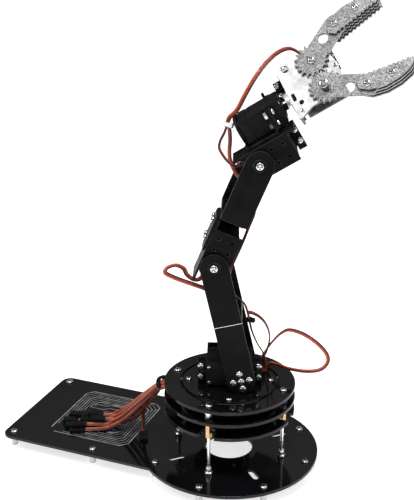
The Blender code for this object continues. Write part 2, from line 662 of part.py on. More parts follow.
def finger(name, side, parent, looks):
    """One finger: a gear with an arm, a jaw plate before it and the jaw's stack behind it."""
    flat = aim((0, 0, 1), (0, 1, 0))
    first = 90 * side + (180 / GEAR_TEETH if side > 0 else 0)
    bore = PIVOT_HOLE_R if side > 0 else 1.4
    gear = plate(
        name + "_plate", gear_outline(GEAR_PITCH_R, GEAR_TEETH, first), FINGER_Y, FINGER_Y + CLAW_PLATE_T,
        [circle(0, 0, bore, 12)], parent, flat, looks["steel"],
    )
    way = Vector(JAW_BOLTS[0])
    along = way.normalized()
    lift = Vector((-along.y, along.x)) * 9.0
    root, tip = along * 7.0, way
    round_tip = [tip + Matrix.Rotation(radians(a), 2) @ -lift for a in (30, 60, 90, 120, 150)]
    outline = [root - lift, tip - lift, *round_tip, tip + lift, root + lift]
    arm = plate(
        name + "_arm", [(p.x, side * p.y) for p in outline], FINGER_Y, FINGER_Y + CLAW_PLATE_T,
        [circle(15.8, side * 11.6, 4.4, 16)], parent, flat, looks["steel"],
    )
    fuse(gear, arm)
    jaw = jaw_outline(side)
    bolts = [circle(x, side * y, JAW_HOLE_R, 8) for x, y in JAW_BOLTS]
    plate(name + "_jaw_front", jaw, JAW_FRONT_Y, FINGER_Y - GAP, bolts, parent, flat, looks["steel"])
    plate(name + "_jaw_stack", jaw, PALM_FRONT_Y, JAW_BACK_Y, bolts, parent, flat, looks["steel"])


def main():
    clear_scene()
    looks = palette()
    ground = empty("ground", None, (YAW_X, YAW_Y, 0))
    base = build_base(ground, looks)
    servo_bottom = yaw_servo(base, looks["case"])
    yaw_axis = empty("yaw_axis", ground)
    build_turntable(yaw_axis, looks)
    horn("yaw_horn", yaw_axis, Matrix.Translation((0, 0, servo_bottom * MM)), looks["alloy"])
    shoulder = empty("shoulder_axis", yaw_axis, (SERVO_SHIFT, 0, SHOULDER_Z), UPPER_LEAN)
    build_upper_arm(shoulder, looks)
    elbow = empty("elbow_axis", shoulder, (0, 0, ELBOW_Z), FOREARM_LEAN - UPPER_LEAN)
    build_forearm(elbow, looks)
    wrist = empty("wrist_axis", elbow, (0, 0, WRIST_Z), WRIST_LEAN - FOREARM_LEAN)
    build_wrist(wrist, looks)
    roll = empty("roll_axis", wrist, (-ROLL_OFFSET - GAP, 0, 0), -CLAW_ROLL, "Z")
    build_palm(roll, looks)
    for name, side in (("lower", 1), ("upper", -1)):
        axis = empty(name + "_finger_axis", roll, (side * GEAR_PITCH_R - PALM_SHIFT, 0, PIVOT_Z))
        finger(name, side, axis, looks)
    high = empty("gripper_horn_axis", roll, (-GEAR_PITCH_R - PALM_SHIFT, GRIPPER_SERVO_Y, PIVOT_Z))
    horn("gripper_horn", high, aim((0, 0, -1), (0, -1, 0)), looks["alloy"])
    build_leads(looks)


main()
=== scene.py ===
"""Looks of the six-axis desktop robot arm: finishes, servos, screws, jaws, ribbon leads and board tracks.

Lengths in the tables are in millimetres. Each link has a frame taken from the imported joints: local z runs
along the link and local y is the axis that it turns about.
"""

import json
from math import cos, pi, radians, sin

import bmesh
import bpy
from mathutils import Matrix, Vector

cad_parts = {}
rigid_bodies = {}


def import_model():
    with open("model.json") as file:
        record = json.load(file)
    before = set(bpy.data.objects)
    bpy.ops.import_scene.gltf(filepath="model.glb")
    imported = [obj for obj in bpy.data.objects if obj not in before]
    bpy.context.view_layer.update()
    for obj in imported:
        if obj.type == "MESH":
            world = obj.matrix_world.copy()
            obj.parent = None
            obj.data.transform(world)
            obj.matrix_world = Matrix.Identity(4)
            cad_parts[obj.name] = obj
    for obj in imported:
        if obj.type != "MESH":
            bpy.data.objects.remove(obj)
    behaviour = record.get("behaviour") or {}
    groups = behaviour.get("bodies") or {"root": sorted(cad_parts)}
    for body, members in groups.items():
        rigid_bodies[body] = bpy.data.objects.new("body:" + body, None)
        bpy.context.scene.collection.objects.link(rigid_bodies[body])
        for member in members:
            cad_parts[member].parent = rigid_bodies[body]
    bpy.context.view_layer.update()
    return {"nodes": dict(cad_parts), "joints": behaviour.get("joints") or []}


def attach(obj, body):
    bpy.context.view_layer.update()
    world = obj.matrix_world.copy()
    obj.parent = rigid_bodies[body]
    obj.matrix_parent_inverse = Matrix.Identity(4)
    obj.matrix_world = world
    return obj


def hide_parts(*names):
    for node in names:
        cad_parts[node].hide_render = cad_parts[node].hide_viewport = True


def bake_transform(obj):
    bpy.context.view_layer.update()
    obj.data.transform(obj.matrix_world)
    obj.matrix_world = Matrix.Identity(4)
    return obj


for leftover in list(bpy.data.objects):
    bpy.data.objects.remove(leftover, do_unlink=True)
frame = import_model()

MM = 0.001
GAP = 0.3
QUARTERS = (0, 90, 180, 270)
NODES = frame["nodes"]
JOINTS = {joint["name"]: joint for joint in frame["joints"]}

# Base (mm).
BASE_TURN = -20.0
PLATE_TOP = 13.5
FOOT_HEIGHT = 10.5
FOOT_R = 3.2
FOOT_EASE = 0.05
SCREW_CIRCLE_R = 71.5
RIM_SCREW_ANGLES = (225, 270, 315, 0, 45, 90)
TAIL_SCREWS = ((-194.0, -52.0), (-194.0, 52.0), (-112.0, -52.0), (-112.0, 52.0))
EXTRA_FEET = (225, 45)
POST_CIRCLE_R = 49.7
MIDDLE_RING_TOP = 68.0
TOP_RING_Z = 77.0
TOP_RING_TOP = 80.0
DISC_TOP = 80.5
DISC_SCREW_R = 36.0
COLLAR_PROFILE = ((0, MIDDLE_RING_TOP), (3.4, MIDDLE_RING_TOP), (3.6, MIDDLE_RING_TOP + 0.3), (3.6, 72.0),
                  (3.1, 72.4), (3.1, 72.8), (3.6, 73.2), (3.6, TOP_RING_Z - 0.3), (3.4, TOP_RING_Z),
                  (0, TOP_RING_Z))
FLANGE_PROFILE = ((0, 15.4), (3.5, 15.4), (3.5, 15.6), (2.6, 16.6), (2.5, 20.5), (2.2, 21), (0, 21))

# Tracks printed on the tail (mm): nested loops, and rows of short tracks inside them.
TRACK_BOTTOM = PLATE_TOP + 0.02
TRACK_TOP = PLATE_TOP + 0.14
MITRE_LIMIT = 0.5
LOOPS = 8
LOOP_STEP = 2.7
LOOP_BOX = (-166, -86, -38, 43)
LOOP_WIDTHS = (1.3, 0.7, 0.7)
CORNER_CUT = 6.0
CORNER_GROWTH = 5
# Each row: the shape of one track above y 0, how many, their pitch, the first one's y, and their width.
TRACK_ROWS = (
    (((-148, 0), (-136, 0), (-131, 4), (-118, 4)), 7, 6.5, -18, 0.8),
    (((-112, 0), (-107, 0)), 9, 5.08, -20, 2.4),
)

# Standard servo, as in the CAD: x along the case from the shaft, z along the shaft (mm).
SERVO_BACK = -10.2
SERVO_FRONT = 30.5
SERVO_HALF_W = 9.85
SERVO_H = 37.0
EAR_Z = 27.0
EAR_T = 2.5
EAR_REACH = 6.9
EAR_HALF_W = 9.0
EAR_HOLE_X = (-14.6, 34.9)
EAR_HOLE_Y = 5.0
EAR_HOLE_R = 2.2
RIB_REACH = 5.0
RIB_HALF_W = 0.8
RIB_H = 2.2
# Each shell of a case: its bottom, its top, and how far it stands back.
CASE_SHELLS = ((0, 8.0, 0.0), (8.35, 27.9, 0.15), (28.25, SERVO_H, 0.0))
CASE_ROUND = 0.7
CORE_INSET = 0.6
CORE_END = 0.5
CASE_SCREW_INSET = 2.6
CASE_SCREW_Y = 7.2
SPLINE_Z = 42.0
MID_PLANE = 20.6
SERVO_SHIFT = (SERVO_FRONT + SERVO_BACK) / 2
BRACKET_HALF_W = 12.5
SHOULDER_Z = 93.3
YAW_SERVO_Z = 28.3
SHEET = 2.0
U_OUTER = 27.0
U_DEPTH = 52.7
SEAM_HALF_W = 12.2
SEAM_PROUD = 0.2
L_BOLT_Z = (15, 32)
L_BOLT_Y = (-5, 5)
HORN_SCREW_R = 7.0

# Claw (mm).
ROLL_OFFSET = 25.3
ROLL_SERVO_Z = -1.0
GRIPPER_SERVO_Y = 38.5
PIVOT_Z = 74.0
LOW_X = 6.0
HIGH_X = -20.0
PIVOT_HEAD_Y = -14.6
PALM_FRONT_Y = -6.7
FINGER_Y = -9.0
PLATE_T = 2.0
JAW_PLATES_Y = (-11.3, -6.7, -2.1, 2.5)
JAW_BOLTS = ((29.0, 17.2), (49.0, 20.0))
JAW_BOLT_R = 1.7
JAW_TEETH = 11
TOOTH_DEPTH = 1.5
SPACER_R = 2.9
SPACER_SPANS = ((-9.3, -8.7), (-4.7, -2.1), (-0.1, 2.5))
PALM_SCREWS = ((14, 50), (-28, 50), (-7, 88.5))
STANDOFFS = ((14, 50), (-7, 84))
STANDOFF_R = 2.6
STANDOFF_SPAN = (-4.7, 6.6)
HUB_PROFILE = ((0, 46.9), (7.6, 46.9), (7.6, 49.6), (5.0, 50.4), (0, 50.4))

# Ribbon lead: three wires side by side (mm).
WIRE_R = 0.66
WIRE_SIDES = 10
WIRE_PITCH = 1.28
ROUTE_STEP = 1.6
PLUG_LENGTH, PLUG_WIDTH, PLUG_HEIGHT = 14.0, 7.6, 2.8
CONTACT_PITCH = 2.54
# Marks over each contact of a plug: where along the plug from and to, and their half width.
PLUG_MARKS = ((3.0, 6.2, 0.75), (9.5, 13.2, 0.4))
# A tie's bore as shares of its band, then its head's half width, reach and margin.
TIE_BORE = (0.72, 0.6)
TIE_HEAD, TIE_REACH, TIE_MARGIN = 1.8, 2.2, 0.4

# Mesh finish.
SMOOTH_ANGLE = radians(34)
BEVEL_ANGLE = radians(40)
WELD_REACH = 0.00002


# ---------------------------------------------------------------- frames

def joint_place(name):
    """Where a joint's axis lies, in metres."""
    return Vector(JOINTS[name]["pos_m"])


def link_frame(origin, z_way, y_way=(0, 1, 0)):
    """The frame of a link at an origin in metres, from its lengthwise and its turning axis."""
    z, y = Vector(z_way).normalized(), Vector(y_way).normalized()
    made = Matrix((y.cross(z), y, z)).transposed().to_4x4()
    made.translation = origin
    return made


def aim(x_way, z_way, place=(0, 0, 0)):
    """Sends local x and z the given ways, with the origin at a place in mm."""
    x, z = Vector(x_way), Vector(z_way)
    columns = Matrix((x, z.cross(x), z)).transposed()
    return Matrix.Translation(Vector(place) * MM) @ columns.to_4x4()


def shift(x, y, z):
    """A move in mm."""
    return Matrix.Translation(Vector((x, y, z)) * MM)


YAW = Matrix.Translation(joint_place("yaw"))
ROLL_AXIS = JOINTS["wrist_roll"]["axis"]
FINGER_AXIS = JOINTS["grip"]["axis"]
FRAMES = {
    "base": YAW @ Matrix.Rotation(radians(BASE_TURN), 4, "Z"),
    "turntable": YAW,
    "upper_arm": link_frame(joint_place("shoulder"), joint_place("elbow") - joint_place("shoulder")),
    "forearm": link_frame(joint_place("elbow"), joint_place("wrist_pitch") - joint_place("elbow")),
    "wrist": link_frame(joint_place("wrist_pitch"), ROLL_AXIS),
    "palm": link_frame(joint_place("wrist_roll"), ROLL_AXIS, FINGER_AXIS),
    "upper_finger": link_frame(joint_place("grip"), ROLL_AXIS, FINGER_AXIS),
    "lower_finger": link_frame(joint_place("grip_follower"), ROLL_AXIS, FINGER_AXIS),
}
ALONG = aim((0, 0, 1), (0, 1, 0))
LYING = aim((0, 0, 1), (0, 1, 0), (0, -MID_PLANE, 0))
SERVOS = {
    "yaw_servo": ("base", aim((-1, 0, 0), (0, 0, 1), (0, 0, YAW_SERVO_Z))),
    "shoulder_servo": ("turntable", aim((-1, 0, 0), (0, -1, 0), (SERVO_SHIFT, MID_PLANE, SHOULDER_Z))),
    "elbow_servo": ("forearm", LYING),
    "pitch_servo": ("wrist", LYING),
    "roll_servo": ("wrist", aim((0, 1, 0), (0, 0, 1), (-ROLL_OFFSET, 0, ROLL_SERVO_Z))),
    "gripper_servo": ("palm", aim((0, 0, -1), (0, -1, 0), (HIGH_X, GRIPPER_SERVO_Y, PIVOT_Z))),
}


# ---------------------------------------------------------------- materials

def new_material(name, colour, roughness, metallic=0.0, specular=0.5):
    """A Principled material. Returns it with its node tree and shader."""
    made = bpy.data.materials.new(name)
    made.use_nodes = True
    tree = made.node_tree
    shader = tree.nodes["Principled BSDF"]
    shader.inputs["Base Color"].default_value = (*colour, 1.0)
    shader.inputs["Roughness"].default_value = roughness
    shader.inputs["Metallic"].default_value = metallic
    shader.inputs["Specular IOR Level"].default_value = specular
    return made, tree, shader


def noise(tree, scale, detail=3.0, stretch=(1, 1, 1)):
    """Noise in object space. The scale is in cells per metre."""
    where = tree.nodes.new("ShaderNodeTexCoord")
    mapping = tree.nodes.new("ShaderNodeMapping")
    mapping.inputs["Scale"].default_value = stretch
    texture = tree.nodes.new("ShaderNodeTexNoise")
    texture.inputs["Scale"].default_value = scale
    texture.inputs["Detail"].default_value = detail
    tree.links.new(where.outputs["Object"], mapping.inputs["Vector"])
    tree.links.new(mapping.outputs["Vector"], texture.inputs["Vector"])
    return texture.outputs["Fac"]


def remapped(tree, value, start, end, low=0.0, high=1.0):
    """Maps start to low and end to high, and holds the result between them."""
    remap = tree.nodes.new("ShaderNodeMapRange")
    for socket, amount in (("From Min", start), ("From Max", end), ("To Min", low), ("To Max", high)):
        remap.inputs[socket].default_value = amount
    tree.links.new(value, remap.inputs["Value"])
    return remap.outputs["Result"]


def ranged(tree, value, low, high):
    """Stretches the middle part of a value from 0 to 1, which is most of a noise, to a range."""
    return remapped(tree, value, 0.3, 0.7, low, high)


def worked_out(tree, kind, operation, *values):
    """A Math or VectorMath node with its inputs, each one a socket or a fixed value."""
    node = tree.nodes.new(kind)
    node.operation = operation
    for socket, value in zip(node.inputs, values):
        if isinstance(value, bpy.types.NodeSocket):
            tree.links.new(value, socket)
        else:
            socket.default_value = value
    return node.outputs["Value"]


def blended(tree, factor, first, second):
    """Mixes two colours, each a socket or a fixed colour, by a factor."""
    mix = tree.nodes.new("ShaderNodeMix")
    mix.data_type = "RGBA"
    tree.links.new(factor, mix.inputs["Factor"])
    for socket, colour in (("A", first), ("B", second)):
        target = [s for s in mix.inputs if s.name == socket and s.type == "RGBA"][0]
        if isinstance(colour, bpy.types.NodeSocket):
            tree.links.new(colour, target)
        else:
            target.default_value = (*colour, 1.0)
    return [s for s in mix.outputs if s.type == "RGBA"][0]


def bump(tree, shader, height, distance, strength=1.0):
    """Surface relief of a distance in mm."""
    node = tree.nodes.new("ShaderNodeBump")
    node.inputs["Distance"].default_value = distance * MM
    node.inputs["Strength"].default_value = strength
    tree.links.new(height, node.inputs["Height"])
    tree.links.new(node.outputs["Normal"], shader.inputs["Normal"])


def paint(tree, shader, colour):
    """Gives a shader its colour from a node."""
    tree.links.new(colour, shader.inputs["Base Color"])


def roughen(tree, shader, low, high, scale, detail=3.0):
    """Roughness that wanders between two values."""
    tree.links.new(ranged(tree, noise(tree, scale, detail), low, high), shader.inputs["Roughness"])


def patchy_edge_mask(tree, radius):
    """A mask, broken up by noise, that grows as an edge, rounded in mm, leans from 10 to 26 degrees."""
    rounded = tree.nodes.new("ShaderNodeBevel")
    rounded.samples = 4
    rounded.inputs["Radius"].default_value = radius * MM
    flat = tree.nodes.new("ShaderNodeNewGeometry")
    normals = rounded.outputs["Normal"], flat.outputs["Normal"]
    mask = remapped(tree, worked_out(tree, "ShaderNodeVectorMath", "DOT_PRODUCT", *normals), 0.985, 0.9)
    patches = ranged(tree, noise(tree, 90.0), 0.0, 1.0)
    return worked_out(tree, "ShaderNodeMath", "MULTIPLY", mask, patches)


def gloss_board():
    """Polished black board with paler edges, partly wear and partly a painted edge highlight."""
    made, tree, shader = new_material("gloss_black_board", (0.006, 0.006, 0.007), 0.12, specular=0.26)
    cloud = ranged(tree, noise(tree, 25.0), 0.0, 1.0)
    edge_wear_and_highlight = patchy_edge_mask(tree, 0.5)
    base = blended(tree, cloud, (0.002, 0.002, 0.0024), (0.005, 0.005, 0.006))
    # Painted highlight: the paler edge colour stands partly for light caught on the edges and partly for
    # wear.
    paint(tree, shader, blended(tree, edge_wear_and_highlight, base, (0.11, 0.11, 0.115)))
    roughen(tree, shader, 0.05, 0.13, 60.0, 5.0)
    bump(tree, shader, noise(tree, 160.0, 2.0), 0.02, 0.4)
    return made


def black_sheet():
    """Anodised sheet metal with a fine grain, and paler edges that are partly rubbed wear and partly a
    painted edge highlight.
    """
    made, tree, shader = new_material("black_anodised_sheet", (0.01, 0.01, 0.011), 0.42, specular=0.06)
    cloud = ranged(tree, noise(tree, 70.0, 4.0), 0.0, 1.0)
    edge_wear_and_highlight = patchy_edge_mask(tree, 0.55)
    base = blended(tree, cloud, (0.003, 0.003, 0.0035), (0.007, 0.007, 0.008))
    # Painted highlight: the paler edge colour stands partly for light caught on the edges and partly for
    # rubbed wear.
    paint(tree, shader, blended(tree, edge_wear_and_highlight, base, (0.14, 0.14, 0.15)))
    roughen(tree, shader, 0.34, 0.52, 220.0)
    bump(tree, shader, noise(tree, 2600.0, 2.0), 0.03, 0.5)
    return made


def servo_plastic():
    """Black moulded plastic with a fine texture."""
    made, tree, shader = new_material("servo_case_plastic", (0.012, 0.012, 0.013), 0.5, specular=0.1)
    cloud = ranged(tree, noise(tree, 110.0, 4.0), 0.0, 1.0)
    base = blended(tree, cloud, (0.005, 0.005, 0.006), (0.010, 0.010, 0.011))
    paint(tree, shader, base)
    roughen(tree, shader, 0.42, 0.58, 300.0)
    bump(tree, shader, noise(tree, 3400.0, 1.0), 0.05, 0.6)
    return made


def cut_sides(tree, across_plate):
    """A mask that is 0 on a plate's two faces and 1 on its cut sides, at rest in world axes."""
    normal = tree.nodes.new("ShaderNodeTexCoord").outputs["Normal"]
    dot = worked_out(tree, "ShaderNodeVectorMath", "DOT_PRODUCT", normal, across_plate)
    return remapped(tree, worked_out(tree, "ShaderNodeMath", "ABSOLUTE", dot), 0.95, 0.6)


def brushed_metal(name, dark, light, rough, stretch, edge_shade_colour=None, edge_shade_radius=0.4, side_shade_colour=None):
    """Metal with fine brush lines along the short side of the stretch and, where their colours are given,
    painted shade on its edges and on its cut sides.
    """
    made, tree, shader = new_material(name, light, rough[0], metallic=1.0)
    lines = noise(tree, 260.0, 4.0, stretch)
    colour = blended(tree, ranged(tree, lines, 0.0, 1.0), dark, light)
    # Painted shade: a dark colour on the edges stands for the shade along the plates' edges.
    if edge_shade_colour:
        colour = blended(tree, patchy_edge_mask(tree, edge_shade_radius), colour, edge_shade_colour)
    # Painted shade: a dark colour on the plates' cut sides stands for the shade on them.
    if side_shade_colour:
        colour = blended(tree, cut_sides(tree, FINGER_AXIS), colour, side_shade_colour)
    paint(tree, shader, colour)
    roughen(tree, shader, *rough, 120.0)
    bump(tree, shader, lines, 0.02, 0.35)
    return made


def screw_metal():
    """Nickel plate with painted shade, taken from ambient occlusion, in the cross of each head."""
    made, tree, shader = new_material("nickel_screw", (0.9, 0.9, 0.9), 0.2, metallic=1.0)
    shade = tree.nodes.new("ShaderNodeAmbientOcclusion")
    shade.samples = 8
    shade.only_local = True
    shade.inputs["Distance"].default_value = 1.1 * MM
    painted_shade_ao = ranged(tree, shade.outputs["AO"], 0.0, 1.0)
    # Painted shade: near black where the cross recess is occluded.
    paint(tree, shader, blended(tree, painted_shade_ao, (0.012, 0.012, 0.012), (0.66, 0.66, 0.67)))
    roughen(tree, shader, 0.14, 0.26, 120.0)
    return made


def nylon():
    """White nylon that light sinks into a little."""
    made, tree, shader = new_material("white_nylon", (0.8, 0.81, 0.82), 0.45)
    shader.inputs["Subsurface Weight"].default_value = 0.25
    shader.inputs["Subsurface Radius"].default_value = (0.002, 0.002, 0.002)
    tone = ranged(tree, noise(tree, 300.0), 0.0, 1.0)
    paint(tree, shader, blended(tree, tone, (0.70, 0.71, 0.72), (0.84, 0.85, 0.86)))
    bump(tree, shader, noise(tree, 1500.0), 0.03, 0.4)
    return made


def wire_skin(name, dark, light):
    """Soft vinyl insulation, a little uneven in tone."""
    made, tree, shader = new_material(name, light, 0.42, specular=0.45)
    tone = ranged(tree, noise(tree, 180.0, 3.0), 0.0, 1.0)
    paint(tree, shader, blended(tree, tone, dark, light))
    roughen(tree, shader, 0.34, 0.5, 500.0)
    bump(tree, shader, noise(tree, 900.0), 0.03, 0.4)
    return made


def track_ink():
    """Grey print on the board."""
    made, tree, shader = new_material("board_tracks", (0.2, 0.2, 0.2), 0.4, metallic=0.2)
    tone = ranged(tree, noise(tree, 140.0, 4.0), 0.0, 1.0)
    paint(tree, shader, blended(tree, tone, (0.10, 0.10, 0.11), (0.36, 0.36, 0.37)))
    return made


BRUSHED = (1, 1, 14)
# Painted shade on the cut sides of the palm plates.
SIDE_SHADE = (0.12, 0.12, 0.125)
LOOKS = {
    "board": gloss_board(),
    "sheet": black_sheet(),
    "case": servo_plastic(),
    "bright": brushed_metal("bright_aluminium", (0.86, 0.87, 0.88), (0.97, 0.97, 0.98), (0.2, 0.34),
                            BRUSHED),
    # In the claw, palm and rear palm looks, the darkest colour is painted shade on the plates' edges.
    "claw": brushed_metal("claw_alloy", (0.08, 0.08, 0.083), (0.47, 0.47, 0.475), (0.3, 0.48), (3, 3, 3),
                          (0.06, 0.06, 0.06)),
    "palm": brushed_metal("palm_alloy", (0.66, 0.67, 0.68), (0.93, 0.93, 0.94), (0.24, 0.38), BRUSHED,
                          (0.03, 0.03, 0.03), 0.9, SIDE_SHADE),
    # Painted shade: a darker copy of the palm alloy for the back plate, which lies in the front plate's
    # shade.
    "palm_back_shaded": brushed_metal("palm_alloy_shaded_copy", (0.30, 0.31, 0.32), (0.56, 0.57, 0.58), (0.3, 0.44),
                               BRUSHED, (0.04, 0.04, 0.04), 0.9, SIDE_SHADE),
    "screw": screw_metal(),
    "brass": brushed_metal("plain_brass", (0.5, 0.3, 0.14), (0.72, 0.48, 0.26), (0.22, 0.36), (1, 1, 8)),
    "nylon": nylon(),
    "brown": wire_skin("brown_wire", (0.05, 0.014, 0.009), (0.11, 0.032, 0.02)),
    "red": wire_skin("red_wire", (0.24, 0.030, 0.020), (0.40, 0.055, 0.036)),
    "orange": wire_skin("orange_wire", (0.40, 0.095, 0.04), (0.62, 0.165, 0.075)),
    "plug": servo_plastic(),
    "tracks": track_ink(),
}
WIRES = (LOOKS["brown"], LOOKS["red"], LOOKS["orange"])


# ---------------------------------------------------------------- mesh helpers

def circle(x, y, r, sides):
    """The corners of a round outline."""
    turns = [2 * pi * i / sides for i in range(sides)]
    return [(x + r * cos(a), y + r * sin(a)) for a in turns]


def solid(outline, z0, z1, holes=()):
    """A bmesh plate in mm with an outline and holes, between two heights."""
    bm = bmesh.new()
    for loop in (outline, *holes):
        verts = [bm.verts.new((x, y, z0)) for x, y in loop]
        for a, b in zip(verts, verts[1:] + verts[:1]):
            bm.edges.new((a, b))
    bmesh.ops.triangle_fill(bm, use_beauty=True, edges=bm.edges[:], normal=(0, 0, 1))
    grown = bmesh.ops.extrude_face_region(bm, geom=bm.faces[:])["geom"]
    upper = [part for part in grown if isinstance(part, bmesh.types.BMVert)]
    bmesh.ops.translate(bm, vec=(0, 0, z1 - z0), verts=upper)
    bmesh.ops.recalc_face_normals(bm, faces=bm.faces)
    return bm


def box(low, high, bevel=0.0, segments=2):
    """A block between two corners in mm, with rounded edges if there is a bevel."""
    bm = bmesh.new()
    bmesh.ops.create_cube(bm, size=1.0)
    bmesh.ops.scale(bm, vec=[b - a for a, b in zip(low, high)], verts=bm.verts)
    bmesh.ops.translate(bm, vec=[(a + b) / 2 for a, b in zip(low, high)], verts=bm.verts)
    if bevel:
        bmesh.ops.bevel(bm, geom=bm.edges[:], offset=bevel, segments=segments, affect="EDGES")
    return bm


def lathe(profile, sides=20):
    """A closed turned solid about z. The profile runs from the axis at the bottom to the axis on top."""
    bm = bmesh.new()
    rings = []
    for r, z in profile:
        spots = [(0, 0)] if r == 0 else circle(0, 0, r, sides)
        rings.append([bm.verts.new((x, y, z)) for x, y in spots])
    for low, high in zip(rings, rings[1:]):
        for i in range(sides):
            j = (i + 1) % sides
            corners = [low[i % len(low)], low[j % len(low)], high[j % len(high)], high[i % len(high)]]
            bm.faces.new(list(dict.fromkeys(corners)))
    bmesh.ops.recalc_face_normals(bm, faces=bm.faces)
    return bm


def smooth(mesh):
    """Smooth shading that keeps the sharp edges sharp."""
    mesh.shade_smooth()
    mesh.set_sharp_from_angle(angle=SMOOTH_ANGLE)


def to_mesh(name, bm, matrix=None):
    """Millimetres to metres, then into place."""
    bmesh.ops.scale(bm, vec=(MM, MM, MM), verts=bm.verts)
    if matrix is not None:
        bmesh.ops.transform(bm, matrix=matrix, verts=bm.verts)
    mesh = bpy.data.meshes.new(name)
    bm.to_mesh(mesh)
    bm.free()
    smooth(mesh)
    return mesh


def gather(parts, move=None):
    """Puts several bmeshes in mm into one, each moved by its own matrix if there are any."""
    whole = bmesh.new()
    for i, bm in enumerate(parts):
        if move:
            moved = move[i].copy()
            moved.translation /= MM
            bmesh.ops.transform(bm, matrix=moved, verts=bm.verts)
        spare = bpy.data.meshes.new("spare")
        bm.to_mesh(spare)
        bm.free()
        whole.from_mesh(spare)
        bpy.data.meshes.remove(spare)
    return whole


def added(name, data):
    """A new object in the scene."""
    obj = bpy.data.objects.new(name, data)
    bpy.context.scene.collection.objects.link(obj)
    return obj


def place(name, mesh, body, look, slot=None):
    """A piece that rides on a body."""
    mesh.materials.append(look)
    obj = added(name, mesh)
    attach(obj, body)
    return obj


def soften(obj, width, segments=2):
    """Rounds the sharp edges of a piece or CAD node by a real bevel."""
    weld = obj.modifiers.new("weld", "WELD")
    weld.merge_threshold = WELD_REACH
    bevel = obj.modifiers.new("soft_edges", "BEVEL")
    bevel.width = width * MM
    bevel.segments = segments
    bevel.limit_method = "ANGLE"
    bevel.angle_limit = BEVEL_ANGLE
    bevel.harden_normals = True


# ---------------------------------------------------------------- screws

# A head's dome and the cross in it, as shares of its radius and height. The neck below is in mm.
DOME = ((1, 0.25), (0.96, 0.55), (0.8, 0.86), (0.5, 1))
NECK_SHARE, RIM_SHARE = 0.55, 0.94
NECK_BOTTOM, RIM_BOTTOM = -0.4, 0.05
CROSS_REACH, CROSS_HALF_W, CROSS_DEPTH = 0.66, 0.17, 0.85
HEAD_TURN, HEAD_TURN_STEP = 20, 37.0


def cross_head(r, h):
    """Pan-head screw with a cross recess, its seat at z 0 (mm)."""
    neck, rim = r * NECK_SHARE, r * RIM_SHARE
    profile = [(0, NECK_BOTTOM), (neck, NECK_BOTTOM), (neck, RIM_BOTTOM), (rim, RIM_BOTTOM)]
    profile += [(r * out, h * up) for out, up in DOME] + [(0, h)]
    head = added("head", to_mesh("head", lathe(profile, 20)))
    arm, half = r * CROSS_REACH, r * CROSS_HALF_W
    cuts = []
    for turn in (0, 90):
        bar = box((-arm, -half, h - h * CROSS_DEPTH), (arm, half, h + 1))
        cuts.append(added("bar", to_mesh("bar", bar, Matrix.Rotation(radians(turn), 4, "Z"))))
    for cut in cuts:
        step = head.modifiers.new("cut", "BOOLEAN")
        step.operation = "DIFFERENCE"
        step.object = cut
    mesh = bpy.data.meshes.new_from_object(head.evaluated_get(bpy.context.evaluated_depsgraph_get()))
    for obj in (head, *cuts):
        bpy.data.objects.remove(obj, do_unlink=True)
    return mesh


def scatter(name, mesh, spots, body, look, slot=None):
    """Copies of a mesh as one piece, turned unalike. Each spot is a matrix in the body's frame."""
    bm = bmesh.new()
    for i, spot in enumerate(spots):
        first = len(bm.verts)
        bm.from_mesh(mesh)
        bm.verts.ensure_lookup_table()
        turn = Matrix.Rotation(radians(HEAD_TURN_STEP * i + HEAD_TURN), 4, "Z")
        matrix = FRAMES[body] @ spot @ turn
        bmesh.ops.transform(bm, matrix=matrix, verts=bm.verts[first:])
    made = bpy.data.meshes.new(name)
    bm.to_mesh(made)
    bm.free()
    smooth(made)
    return place(name, made, body, look, slot)


SCREW_BIG = cross_head(3.4, 1.9)
SCREW_MID = cross_head(2.9, 1.7)
SCREW_CAP = cross_head(4.15, 1.3)
SCREW_SMALL = cross_head(1.9, 1.2)
SCREW_TINY = cross_head(1.5, 0.6)
NUT_T = 2.2
NUT = to_mesh("nut", solid(circle(0, 0, 3.1, 6), 0, NUT_T, [circle(0, 0, 1.2, 10)]))
WASHER = to_mesh("washer", lathe([(0, 0), (5.2, 0), (5.4, 0.2), (5.2, 0.8), (3.0, 0.9), (0, 0.9)], 28))
WASHER_SEAT = 0.85


def ring_spots(r, z, turns):
    """Places on a circle in mm, at angles in degrees."""
    return [shift(r * cos(radians(a)), r * sin(radians(a)), z) for a in turns]


# ---------------------------------------------------------------- base

def hex_foot(x, y):
    return solid(circle(x, y, FOOT_R, 6), FOOT_EASE, FOOT_HEIGHT - FOOT_EASE)


def build_plate_screws():
    """The base plate's screws, and the feet that aren't nodes."""
    rim = ring_spots(SCREW_CIRCLE_R, PLATE_TOP, RIM_SCREW_ANGLES)
    tail = [shift(x, y, PLATE_TOP) for x, y in TAIL_SCREWS]
    scatter("plate_screws", SCREW_BIG, rim + tail, "base", LOOKS["screw"], "bright_aluminium")
    places = [(SCREW_CIRCLE_R * cos(radians(a)), SCREW_CIRCLE_R * sin(radians(a))) for a in EXTRA_FEET]
    places += TAIL_SCREWS[2:]
    feet = gather([hex_foot(x, y) for x, y in places])
    place("extra_feet", to_mesh("extra_feet", feet, FRAMES["base"]), "base", LOOKS["nylon"], "nylon")


def build_posts():
    """What holds the rings apart: screws on top, grooved collars, and flanges at the rods' feet."""
    tops = ring_spots(POST_CIRCLE_R, TOP_RING_TOP, QUARTERS)
    scatter("ring_screws", SCREW_BIG, tops, "base", LOOKS["screw"], "bright_aluminium")
    axes = ring_spots(POST_CIRCLE_R, 0, QUARTERS)
    for name, profile in (("ring_collars", COLLAR_PROFILE), ("post_flanges", FLANGE_PROFILE)):
        turned = to_mesh(name, lathe(profile, 24))
        scatter(name, turned, axes, "base", LOOKS["bright"], "bright_aluminium")
        bpy.data.meshes.remove(turned)


def build_turntable():
    spots = ring_spots(DISC_SCREW_R, DISC_TOP, QUARTERS)
    scatter("disc_screws", SCREW_MID, spots, "turntable", LOOKS["screw"], "bright_aluminium")


